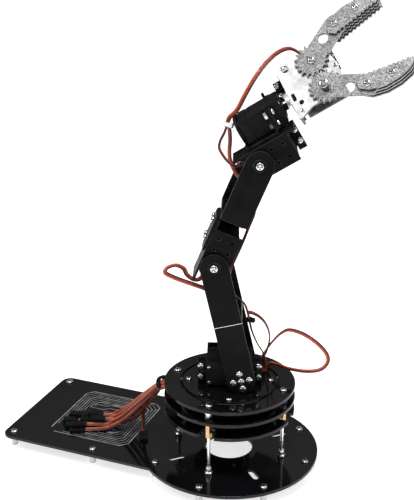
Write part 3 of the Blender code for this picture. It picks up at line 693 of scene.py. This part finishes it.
def track(points, width):
    """A flat raised strip along points in the base's frame (mm)."""
    bm = bmesh.new()
    low, high = TRACK_BOTTOM, TRACK_TOP
    path = [Vector(p) for p in points]
    sides = []
    for i, p in enumerate(path):
        before = (p - path[i - 1]).normalized() if i else (path[1] - p).normalized()
        after = (path[i + 1] - p).normalized() if i + 1 < len(path) else before
        way = (before + after).normalized()
        reach = width / 2 / max(MITRE_LIMIT, way.dot(after))
        across = Vector((-way.y, way.x)) * reach
        sides.append((p - across, p + across))
    rows = []
    for a, b in sides:
        rows.append([bm.verts.new((*q, z)) for q, z in ((a, low), (b, low), (b, high), (a, high))])
    for first, second in zip(rows, rows[1:]):
        for i in range(4):
            j = (i + 1) % 4
            bm.faces.new((first[i], first[j], second[j], second[i]))
    bm.faces.new(rows[0])
    bm.faces.new(list(reversed(rows[-1])))
    bmesh.ops.recalc_face_normals(bm, faces=bm.faces)
    return bm


def nested_track(i):
    """One of the nested tracks: a loop with cut corners, open at one of them."""
    inset, cut, growth = LOOP_STEP * i, CORNER_CUT, CORNER_GROWTH * i
    x0, x1 = LOOP_BOX[0] + inset, LOOP_BOX[1] - inset
    y0, y1 = LOOP_BOX[2] + inset, LOOP_BOX[3] - inset
    loop = [(x0, y0 + cut + growth), (x0, y1 - cut), (x0 + cut, y1), (x1 - cut, y1), (x1, y1 - cut),
            (x1, y0 + cut), (x1 - cut, y0), (x0 + cut + growth, y0)]
    return track(loop, LOOP_WIDTHS[i % len(LOOP_WIDTHS)])


def track_row(shape, count, pitch, first_y, width):
    """Short tracks of one shape, side by side."""
    starts = [first_y + pitch * i for i in range(count)]
    return [track([(x, y + up) for x, up in shape], width) for y in starts]


def build_tracks():
    """Generic pattern: nested tracks, a row of cranked links and a row of pads."""
    parts = [nested_track(i) for i in range(LOOPS)]
    for row in TRACK_ROWS:
        parts += track_row(*row)
    mesh = to_mesh("printed_tracks", gather(parts), FRAMES["base"])
    place("printed_tracks", mesh, "base", LOOKS["tracks"])


# ---------------------------------------------------------------- servos

def servo_shells():
    """Three moulded shells, and a core that shows in the seams between them."""
    x, y = SERVO_BACK, SERVO_HALF_W
    parts = []
    for low, high, inset in CASE_SHELLS:
        far = (SERVO_FRONT - inset, y - inset, high)
        parts.append(box((x + inset, inset - y, low), far, CASE_ROUND, 3))
    core_low = (x + CORE_INSET, CORE_INSET - y, CORE_END)
    core_high = (SERVO_FRONT - CORE_INSET, y - CORE_INSET, SERVO_H - CORE_END)
    return [*parts, box(core_low, core_high)]


def servo_ear(side, hole_x):
    """An ear with its two holes and the rib on top of it."""
    edge = SERVO_BACK if side < 0 else SERVO_FRONT
    x0, x1 = sorted((edge - side * 0.5, edge + side * EAR_REACH))
    outline = [(x0, -EAR_HALF_W), (x1, -EAR_HALF_W), (x1, EAR_HALF_W), (x0, EAR_HALF_W)]
    holes = [circle(hole_x, s * EAR_HOLE_Y, EAR_HOLE_R, 14) for s in (-1, 1)]
    rib = sorted((edge - side * 0.3, edge + side * RIB_REACH))
    top = EAR_Z + EAR_T
    return [solid(outline, EAR_Z, top, holes),
            box((rib[0], -RIB_HALF_W, top - 0.1), (rib[1], RIB_HALF_W, top + RIB_H), 0.3, 1)]


def servo_boss():
    """The gear boss with the spline on it."""
    return lathe([(0, SERVO_H - 0.6), (9.4, SERVO_H - 0.6), (9.4, SERVO_H + 0.1), (6.6, SERVO_H + 0.5),
                  (6.4, SERVO_H + 1.2), (2.9, SERVO_H + 1.2), (2.9, SPLINE_Z - 0.2), (2.6, SPLINE_Z),
                  (0, SPLINE_Z)], 32)


def servo_case():
    """A whole case with its ears and boss."""
    ears = [*servo_ear(-1, EAR_HOLE_X[0]), *servo_ear(1, EAR_HOLE_X[1])]
    return gather([*servo_shells(), *ears, servo_boss()])


def case_corners(z):
    """Where the case's four long screws stand, at a height."""
    ends = (SERVO_BACK + CASE_SCREW_INSET, SERVO_FRONT - CASE_SCREW_INSET)
    return [(x, y, z) for x in ends for y in (-CASE_SCREW_Y, CASE_SCREW_Y)]


def servo_screws(name, body, turn):
    """Case screws, ear screws and nuts. On two servos the ear screws' heads are under the ears."""
    under = aim((1, 0, 0), (0, 0, -1))
    small = [turn @ shift(*spot) for spot in case_corners(SERVO_H)]
    bare = name in ("yaw_servo", "gripper_servo")
    if bare:
        small += [turn @ shift(*spot) @ under for spot in case_corners(0)]
    scatter(name + "_case_screws", SCREW_TINY, small, body, LOOKS["screw"])
    ears = [(x, s * EAR_HOLE_Y) for x in EAR_HOLE_X for s in (-1, 1)]
    top, below = EAR_Z + EAR_T, EAR_Z - GAP - SHEET
    heads = [turn @ shift(x, y, top) for x, y in ears]
    nuts = [turn @ shift(x, y, below - NUT_T) for x, y in ears]
    if name in ("elbow_servo", "pitch_servo"):
        heads = [turn @ shift(x, y, below) @ under for x, y in ears]
        nuts = [turn @ shift(x, y, top) for x, y in ears]
    scatter(name + "_ear_screws", SCREW_MID, heads, body, LOOKS["screw"])
    if not bare:
        scatter(name + "_ear_nuts", NUT, nuts, body, LOOKS["screw"])


def build_servos():
    """Detailed cases in place of the CAD ones, with their screws."""
    for name, (body, turn) in SERVOS.items():
        mesh = to_mesh(name, servo_case(), FRAMES[body] @ turn)
        case = place(name + "_case", mesh, body, LOOKS["case"], "servo_case")
        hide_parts(name)
        servo_screws(name, body, turn)


# ---------------------------------------------------------------- arm

def leg_bolts(name, body, at, side, horn):
    """Bolts on the outside of one U-bracket leg: a horn's five, or one big one with a washer."""
    out = at @ aim((1, 0, 0), (0, side, 0), (0, side * U_OUTER, 0))
    if horn:
        turns = (0, pi / 2, pi, 3 * pi / 2)
        spots = [out @ shift(HORN_SCREW_R * cos(a), HORN_SCREW_R * sin(a), 0) for a in turns]
        scatter(name + "_horn_screws", SCREW_MID, [out, *spots], body, LOOKS["screw"])
    else:
        washer = place(name + "_washer", WASHER.copy(), body, LOOKS["sheet"])
        washer.data.transform(FRAMES[body] @ out)
        scatter(name + "_pivot_bolt", SCREW_BIG, [out @ shift(0, 0, WASHER_SEAT)], body, LOOKS["screw"])


def build_arm():
    """Bolts of the three hinges and of the L-bracket, and the seam between the two U-brackets."""
    elbow_z = (joint_place("elbow") - joint_place("shoulder")).length / MM
    wrist_z = (joint_place("wrist_pitch") - joint_place("elbow")).length / MM
    for name, body, z, horn_side in (("shoulder", "upper_arm", 0, -1), ("elbow", "upper_arm", elbow_z, 1),
                                     ("wrist", "forearm", wrist_z, 1)):
        for side, tag in ((-1, "near"), (1, "far")):
            leg_bolts(f"{name}_{tag}", body, shift(0, 0, z), side, side == horn_side)
    seam_y = U_OUTER + SEAM_PROUD
    seam = box((-SEAM_HALF_W, -seam_y, U_DEPTH), (SEAM_HALF_W, seam_y, U_DEPTH + GAP))
    place("bracket_seam", to_mesh("seam", seam, FRAMES["upper_arm"]), "upper_arm", LOOKS["bright"])
    left = aim((0, 0, 1), (-1, 0, 0), (-BRACKET_HALF_W - GAP - SHEET, 0, 0))
    spots = [left @ shift(z, y, 0) for z in L_BOLT_Z for y in L_BOLT_Y]
    scatter("elbow_l_bolts", SCREW_MID, spots, "forearm", LOOKS["screw"])


# ---------------------------------------------------------------- claw

def jaw_outline(side):
    """Jaw in (along, outwards) from its pivot: serrated inner edge and bowed outer edge."""
    start, end = Vector((26.5, 8.0)), Vector((68.0, 15.5))
    inner = []
    for i in range(JAW_TEETH):
        inner.append(start.lerp(end, i / JAW_TEETH))
        inner.append(start.lerp(end, (i + 0.5) / JAW_TEETH) + Vector((0, TOOTH_DEPTH)))
    outer = [(68.4, 16.2), (68.0, 19.5), (62.0, 23.4), (52.0, 26.0), (40.0, 26.3), (28.0, 23.3),
             (21.5, 17.5), (21.5, 12)]
    return [(x, side * y) for x, y in [*inner, *outer]]


def build_jaws(body, side):
    """Three rear jaw plates in one piece, and the spacers between all four."""
    name = body.split("_")[0]
    lie = FRAMES[body] @ ALONG
    holes = [circle(x, side * y, JAW_BOLT_R, 12) for x, y in JAW_BOLTS]
    plates = [solid(jaw_outline(side), y, y + PLATE_T, holes) for y in JAW_PLATES_Y[1:]]
    mesh = to_mesh("jaw", gather(plates), lie)
    stack = place(name + "_jaw_plates", mesh, body, LOOKS["claw"], "grey_alloy")
    soften(stack, 0.2, 1)
    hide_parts(name + "_jaw_stack")
    spacers, spots = [], []
    for y0, y1 in SPACER_SPANS:
        for x, y in JAW_BOLTS:
            spacers.append(lathe([(0, y0), (SPACER_R, y0), (SPACER_R, y1), (0, y1)], 16))
            spots.append(shift(x, side * y, 0))
    place(name + "_jaw_spacers", to_mesh("spacers", gather(spacers, spots), lie), body, LOOKS["bright"])


def build_jaw_bolts(body, side):
    """Screws in front of the jaws and nuts behind them."""
    name = body.split("_")[0]
    front_y, rear_y = JAW_PLATES_Y[0], JAW_PLATES_Y[-1] + PLATE_T
    front = [aim((1, 0, 0), (0, -1, 0), (side * y, front_y, x)) for x, y in JAW_BOLTS]
    rear = [aim((1, 0, 0), (0, 1, 0), (side * y, rear_y, x)) for x, y in JAW_BOLTS]
    scatter(name + "_jaw_screws", SCREW_MID, front, body, LOOKS["screw"])
    scatter(name + "_jaw_nuts", NUT, rear, body, LOOKS["screw"])


def build_palm():
    """The palm's screws, standoffs and hub, and the heads of the two finger pivots."""
    spots = [aim((1, 0, 0), (0, -1, 0), (x, PALM_FRONT_Y, z)) for x, z in PALM_SCREWS]
    scatter("palm_screws", SCREW_SMALL, spots, "palm", LOOKS["screw"])
    low, high = STANDOFF_SPAN
    posts = [lathe([(0, low), (STANDOFF_R, low), (STANDOFF_R, high), (0, high)], 6) for _ in STANDOFFS]
    gathered = gather(posts, [shift(z, x, 0) for x, z in STANDOFFS])
    standoffs = to_mesh("standoffs", gathered, FRAMES["palm"] @ ALONG)
    place("palm_standoffs", standoffs, "palm", LOOKS["bright"])
    hub = lathe(HUB_PROFILE, 24)
    place("palm_hub", to_mesh("hub", hub, FRAMES["palm"]), "palm", LOOKS["case"])
    head = aim((1, 0, 0), (0, -1, 0), (0, FINGER_Y - 0.1, 0))
    scatter("gear_screw", SCREW_BIG, [head], "upper_finger", LOOKS["screw"])
    cap = aim((1, 0, 0), (0, -1, 0), (LOW_X, PIVOT_HEAD_Y, PIVOT_Z))
    scatter("pivot_bolt_head", SCREW_CAP, [cap], "palm", LOOKS["screw"])


# ---------------------------------------------------------------- leads

ORIGIN = joint_place("yaw")
BUNDLE_FLAT = (0, -0.5, 0.85)
# Each route in mm from the turntable's axis at the floor, with the way its flat side faces first.
LEADS = {
    "gripper_lead": (((63.2, 43.5, 344), (60.5, 45.5, 353), (54.5, 44.5, 360.5), (46, 39, 365),
                      (36.5, 31, 363), (27, 22.5, 356), (18.5, 14.5, 346), (11, 8.5, 334), (4, 6, 321),
                      (-1.8, 5, 315.2), (-3.8, 3.8, 310.5)), (1, -0.25, 0.3)),
    "wrist_lead": (((-4.3, 2.8, 308), (-6, 0, 303.5), (-9, -3, 298), (-10, -4, 292), (-6.5, -5, 285.5),
                    (-2, -6, 280.5), (3, -6, 277.5), (7.5, -6, 279), (10.9, -6, 281)), (-1, 0.2, 0)),
    "elbow_lead": (((-22.3, -8, 184.9), (-25.8, -8, 179.5), (-31, -8, 179), (-36.5, -10, 184),
                    (-39, -14, 191), (-45, -18, 195.5), (-52, -20, 194), (-54, -20, 189.5), (-47, -19, 185),
                    (-38, -18, 181), (-29, -16, 177), (-20, -13, 172), (-12, -9, 163), (-5, -3, 153),
                    (-2.6, 0, 149)), (0.2, -1, 0.3)),
    "arm_lead": (((17, 0, 259), (19, 3, 248), (19.5, 5, 235), (15, 5, 222), (9.5, 5, 207), (4.5, 5, 195),
                  (0.2, 5, 184), (-2, 5, 173), (0.5, 5.5, 163.5), (6.5, 6.2, 157), (12.3, 7, 150.5),
                  (14.8, 7.5, 143.5), (16.5, 8, 136)), (-1, -0.4, 0)),
    "shoulder_lead": (((16.8, 8.3, 134.6), (19, 12, 123), (24, 18, 108), (30, 23.5, 95), (31.5, 24.5, 85),
                       (31.5, 24.5, 75)), (-1, -0.4, 0)),
    "turntable_lead": (((26.5, 28.5, 75), (27.5, 28.5, 86), (33, 26.5, 98), (39.5, 21.5, 110),
                        (45, 16.5, 118.5), (52, 12, 124), (64, 6, 123), (76, 0, 117), (84, -4, 109),
                        (85, -6, 102), (79, -8, 96), (67, -6, 93), (53, 1, 91.5), (42, 10, 91),
                        (36, 17, 88), (33.5, 19.5, 82), (33.5, 19.5, 75)), (-1, 0.1, 0.4)),
    "base_lead_1": (((-50, 5, 72.5), (-58, 6, 72), (-67, 9, 67), (-76, 14, 57), (-88, 22, 43),
                     (-103, 29, 27), (-118, 33, 17.5), (-130, 35, 15.5), (-143, 36, 15.5)), BUNDLE_FLAT),
    "base_lead_2": (((-50, 10, 72.5), (-58, 12, 72), (-66, 16, 66), (-77, 23, 54), (-90, 31, 39),
                     (-104, 38, 25), (-117, 42, 17.5), (-128, 44, 15.5), (-139, 46, 15.5)), BUNDLE_FLAT),
    "base_lead_3": (((-50, 0, 72.5), (-58, 0, 72), (-66, 5, 66), (-72.5, 11, 56), (-77, 19, 45),
                     (-80, 26, 34), (-80.8, 29, 25), (-80.6, 28, 18.5), (-80.2, 23, 15.7),
                     (-79.5, 17.5, 15.5)), (0, -1, 0.1)),
    # Strands that the CAD has no node for: beside the shoulder's lead, and from the wrist's tie downwards.
    "side_strand": (((14.5, 10.5, 141), (19, 12, 140), (25.5, 14, 135.5), (31, 17, 128), (34.5, 20, 118),
                     (35, 23, 107), (33, 26, 97), (30, 27.5, 87), (30, 27.5, 76)), (-0.3, 0.4, -1)),
    "wrist_strand": (((-2.6, 5.6, 309), (-1.8, 6, 303), (-1.4, 5.5, 296), (-1.9, 5, 288), (-1.5, 4.5, 281),
                      (0.6, 3.5, 274.5), (4, 2, 269), (9, 0, 264)), (-0.6, -0.8, 0)),
}
# Further leads of the bundle: how far along, across and up each plug lies from base_lead_1's (mm).
BUNDLE = ((3.0, -8.4, 0.0), (9.0, -16.8, 0.0), (12.0, 4.2, 3.3), (17.0, -4.2, 3.3), (10.0, -12.6, 3.3),
          (24.0, 0.0, 6.6), (27.0, -8.4, 6.6))
# The links that each lead along the arm runs between.
HELD_LEADS = {
    "gripper_lead": ("palm", "wrist"),
    "wrist_lead": ("wrist", None),
    "elbow_lead": ("forearm", "upper_arm"),
    "arm_lead": ("forearm", "upper_arm"),
    "shoulder_lead": ("upper_arm", "turntable"),
    "turntable_lead": ("turntable", None),
}
STRANDS = {"side_strand": ("upper_arm", "turntable"), "wrist_strand": ("wrist", "forearm")}
# The further leads start in rows of three above base_lead_1, and come to their plugs' layer near the end.
ROW, ROW_PITCH, FIRST_LAYER, LAYER_PITCH = 3, 2.4, 1.7, 1.6
SPREAD_FROM, SPREAD_OVER = 0.7, 0.3


def bundle_routes():
    """Routes above base_lead_1's: they leave together and spread out to their plugs."""
    first = [Vector(p) for p in LEADS["base_lead_1"][0]]
    last = len(first) - 1
    found = {}
    for i, (along, across, up) in enumerate(BUNDLE):
        start = Vector((0, (i % ROW - 1) * ROW_PITCH, FIRST_LAYER + LAYER_PITCH * (i // ROW)))
        route = []
        for k, point in enumerate(first):
            share = k / last
            lie = max(0.0, (share - SPREAD_FROM) / SPREAD_OVER)
            offset = start * (1 - share) + Vector((along * share, across * share, up * lie * (2 - lie)))
            route.append(point + offset)
        found[f"base_lead_{i + 4}"] = (route, BUNDLE_FLAT)
    return found


def smooth_route(route):
    """Points in mm, about a step apart, on a Catmull-Rom curve through the route."""
    points = [Vector(p) for p in route]
    ends = [2 * points[0] - points[1], *points, 2 * points[-1] - points[-2]]
    fine = []
    for p0, p1, p2, p3 in zip(ends, ends[1:], ends[2:], ends[3:]):
        count = max(2, round((p2 - p1).length / ROUTE_STEP))
        for i in range(count):
            t = i / count
            fine.append(0.5 * (2 * p1 + (p2 - p0) * t + (2 * p0 - 5 * p1 + 4 * p2 - p3) * t * t
                               + (3 * p1 - p0 - 3 * p2 + p3) * t ** 3))
    return [*fine, points[-1]]


def across_route(points, flat):
    """The ribbon's width direction at each point, carried along without twist."""
    flat = Vector(flat)
    found = []
    for i, point in enumerate(points):
        way = (points[min(i + 1, len(points) - 1)] - points[max(i - 1, 0)]).normalized()
        flat = (flat - way * flat.dot(way)).normalized()
        found.append((way.cross(flat), flat.copy()))
    return found


def wire(bm, points, sides, offset, look_index):
    """One round wire of a ribbon, in mm from the yaw axis."""
    rings = []
    for point, (across, up) in zip(points, sides):
        middle = point + across * offset
        spots = circle(0, 0, WIRE_R, WIRE_SIDES)
        rings.append([bm.verts.new(middle + across * u + up * v) for u, v in spots])
    faces = [bm.faces.new(rings[0]), bm.faces.new(list(reversed(rings[-1])))]
    for low, high in zip(rings, rings[1:]):
        for i in range(WIRE_SIDES):
            j = (i + 1) % WIRE_SIDES
            faces.append(bm.faces.new((low[i], high[i], high[j], low[j])))
    for face in faces:
        face.material_index = look_index


def ribbon(name, route, flat):
    """A flat lead of three wires. Returns the object, its centreline in metres and its length."""
    points = smooth_route(route)
    sides = across_route(points, flat)
    bm = bmesh.new()
    for index, offset in enumerate((-WIRE_PITCH, 0, WIRE_PITCH)):
        wire(bm, points, sides, offset, index)
    bmesh.ops.recalc_face_normals(bm, faces=bm.faces)
    mesh = to_mesh(name, bm, Matrix.Translation(ORIGIN))
    for look in WIRES:
        mesh.materials.append(look)
    obj = added(name + "_ribbon", mesh)
    path = [ORIGIN + p * MM for p in points]
    return obj, path, sum((b - a).length for a, b in zip(path, path[1:]))


def up_from(way):
    """Straight up, squared to a direction."""
    up = Vector((0, 0, 1))
    return (up - way * up.dot(way)).normalized()


def lead_plug(name, route):
    """Three-way plug in line with its lead, with two small raised marks over each contact."""
    end = Vector(route[-1])
    way = (end - Vector(route[-2])).normalized()
    half, top = PLUG_WIDTH / 2, PLUG_HEIGHT / 2
    parts = [box((GAP, -half, -top), (GAP + PLUG_LENGTH, half, top), 0.35)]
    for y in (-CONTACT_PITCH, 0, CONTACT_PITCH):
        for x0, x1, reach in PLUG_MARKS:
            parts.append(box((x0, y - reach, top - 0.2), (x1, y + reach, top + 0.12)))
    matrix = Matrix.Translation(ORIGIN) @ aim(way, up_from(way), end)
    return place(name, to_mesh(name, gather(parts), matrix), "base", LOOKS["plug"], "black_plug")


def build_held_leads(held):
    """Leads along the arm. The ones that cross a joint stay fixed in the world, on no link; the others ride
    on their link.
    """
    for name, (first, second) in held.items():
        route, flat = LEADS[name]
        obj, path, length = ribbon(name, route, flat)
        if second:
            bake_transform(obj)
        else:
            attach(obj, first)
        if name in NODES:
            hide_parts(name)


def build_free_leads():
    """Leads from the turntable housing to plugs on the base plate."""
    for name, (route, flat) in {**LEADS, **bundle_routes()}.items():
        if not name.startswith("base_lead"):
            continue
        obj, path, length = ribbon(name, route, flat)
        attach(obj, "base")
        plug_name = name.replace("base_lead", "plug")
        plug = lead_plug(plug_name + "_body", route)
        if name in LEADS:
            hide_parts(name)
            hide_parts(plug_name)


def tie(name, middle, way, size, body, look):
    """A cable tie: a flat band round a lead with its square head (mm)."""
    half_u, half_v, width = size
    outer = [(half_u * u, half_v * v) for u, v in circle(0, 0, 1, 20)]
    inner = [(u * TIE_BORE[0], v * TIE_BORE[1]) for u, v in outer]
    band = solid(outer, -width / 2, width / 2, [inner])
    rise = width / 2 + TIE_MARGIN
    head = box((half_u * 0.7, -TIE_HEAD, -rise), (half_u + TIE_REACH, TIE_HEAD, rise), 0.3, 1)
    z = Vector(way).normalized()
    x = z.cross(Vector((0, 0, 1))).normalized()
    matrix = Matrix.Translation(ORIGIN) @ aim(x, z, middle)
    place(name, to_mesh(name, gather([band, head]), matrix), body, look)


def build_ties():
    tie("wrist_tie", (-4.1, 3.2, 309.2), (0.3, 0.6, 1.6), (3.4, 2.4, 3.4), "wrist", LOOKS["nylon"])
    tie("shoulder_tie", (16.7, 8.2, 135.3), (0.3, 0.6, -2.6), (3.0, 2.6, 2.6), "upper_arm", LOOKS["plug"])
    tie("bundle_tie", (-61, 8.2, 72.6), (-0.85, 0.25, -0.45), (8.4, 5.2, 3.4), "base", LOOKS["plug"])


# ---------------------------------------------------------------- CAD finishes

FINISHES = {
    "board": ("base_plate", "lower_disc", "middle_ring", "top_ring", "turntable_disc"),
    "sheet": ("shoulder_bracket", "lower_arm_bracket", "upper_arm_bracket", "elbow_bracket",
              "elbow_l_bracket", "forearm_bracket", "pitch_bracket", "roll_bracket"),
    "bright": ("yaw_horn", "shoulder_horn", "elbow_horn", "wrist_horn", "roll_horn", "gripper_horn",
               *(f"post_rod_{i}" for i in range(1, 5))),
    "palm": ("palm_front",),
    "palm_back_shaded": ("palm_back",),
    "brass": tuple(f"brass_spacer_{i}" for i in range(1, 5)),
    "nylon": tuple(f"foot_{i}" for i in range(1, 7)),
    "claw": ("upper_plate", "upper_jaw_front", "lower_plate", "lower_jaw_front"),
    "screw": ("pivot_bolt",),
}


def finish_cad_nodes():
    """Procedural materials and softly rounded edges on the CAD parts that show."""
    for look, names in FINISHES.items():
        for name in names:
            node = NODES[name]
            node.data.materials.clear()
            node.data.materials.append(LOOKS[look])
            if "custom_normal" in node.data.attributes:
                node.data.attributes.remove(node.data.attributes["custom_normal"])
            node.data.shade_smooth()
            soften(node, 0.4 if look == "board" else 0.25)


# ---------------------------------------------------------------- stage

CAMERA_PLACE = (0.0402, -0.7972, 0.4922)
CAMERA_WAY = (-0.0327, 0.9362, -0.3499)
LENS_MM = 70.8
FLOOR_REACH = 9000
FLOOR_TOP = -0.2
FLOOR_GLOW = 0.72
# The world's strength by how high a direction points: dim up to the first height, bright from the second.
DIM_HEIGHT, BRIGHT_HEIGHT = 0.36, 0.72
DIM, BRIGHT = 0.04, 0.62
# Soft boxes: place and target in metres, size and power.
SOFT_BOXES = {
    "key": ((-1.1, -0.4, 1.3), (0, 0, 0.2), (0.35, 0.35), 5),
    "side": ((1.2, -0.5, 0.9), (0, 0, 0.2), (0.3, 0.9), 3),
    "top": ((0.05, -0.5, 1.7), (0, 0, 0.1), (0.35, 0.35), 16),
}


def facing(way):
    """The rotation of a camera or light that looks along a direction."""
    return Vector(way).to_track_quat("-Z", "Y").to_euler()


def build_camera():
    data = bpy.data.cameras.new("camera")
    data.lens = LENS_MM
    data.clip_end = 100.0
    camera = added("camera", data)
    camera.location = CAMERA_PLACE
    camera.rotation_euler = facing(CAMERA_WAY)
    bpy.context.scene.camera = camera


def build_floor():
    """A pale floor that glows a little, so that it stays white away from the lights."""
    reach = FLOOR_REACH
    corners = [(-reach, -reach), (reach, -reach), (reach, reach), (-reach, reach)]
    mesh = to_mesh("floor", solid(corners, -5, FLOOR_TOP))
    made, tree, shader = new_material("pale_floor", (0.93, 0.93, 0.93), 0.7, specular=0.1)
    tone = ranged(tree, noise(tree, 3.0), 0.0, 1.0)
    paint(tree, shader, blended(tree, tone, (0.795, 0.795, 0.795), (0.805, 0.805, 0.805)))
    shader.inputs["Emission Color"].default_value = (1.0, 1.0, 1.0, 1.0)
    shader.inputs["Emission Strength"].default_value = FLOOR_GLOW
    mesh.materials.append(made)
    added("floor", mesh)


def soft_light(name, place_at, target, size, power):
    """A soft box that looks at a target."""
    data = bpy.data.lights.new(name, "AREA")
    data.shape = "RECTANGLE"
    data.size, data.size_y = size
    data.energy = power
    light = added(name, data)
    light.location = place_at
    light.rotation_euler = facing(Vector(target) - Vector(place_at))


def build_light():
    """Three soft boxes, and a world that looks white and lights dimly near the horizon."""
    world = bpy.data.worlds.new("studio")
    bpy.context.scene.world = world
    world.use_nodes = True
    tree = world.node_tree
    background = tree.nodes["Background"]
    background.inputs["Color"].default_value = (1.0, 1.0, 1.0, 1.0)
    where = tree.nodes.new("ShaderNodeTexCoord")
    split = tree.nodes.new("ShaderNodeSeparateXYZ")
    tree.links.new(where.outputs["Generated"], split.inputs["Vector"])
    ramp = remapped(tree, split.outputs["Z"], DIM_HEIGHT, BRIGHT_HEIGHT, DIM, BRIGHT)
    seen = tree.nodes.new("ShaderNodeLightPath").outputs["Is Camera Ray"]
    strength = worked_out(tree, "ShaderNodeMath", "MAXIMUM", ramp, seen)
    tree.links.new(strength, background.inputs["Strength"])
    for name, settings in SOFT_BOXES.items():
        soft_light(name, *settings)


def main():
    build_camera()
    build_held_leads(HELD_LEADS)
    build_free_leads()
    build_held_leads(STRANDS)
    build_ties()
    finish_cad_nodes()
    build_servos()
    build_plate_screws()
    build_posts()
    build_turntable()
    build_tracks()
    build_arm()
    for body, side in (("lower_finger", 1), ("upper_finger", -1)):
        build_jaws(body, side)
        build_jaw_bolts(body, side)
    build_palm()
    build_floor()
    build_light()
    view = bpy.context.scene.view_settings
    view.view_transform = "Standard"
    view.exposure = 0.0
    for spare in (SCREW_BIG, SCREW_MID, SCREW_CAP, SCREW_SMALL, SCREW_TINY, NUT, WASHER):
        bpy.data.meshes.remove(spare)


main()
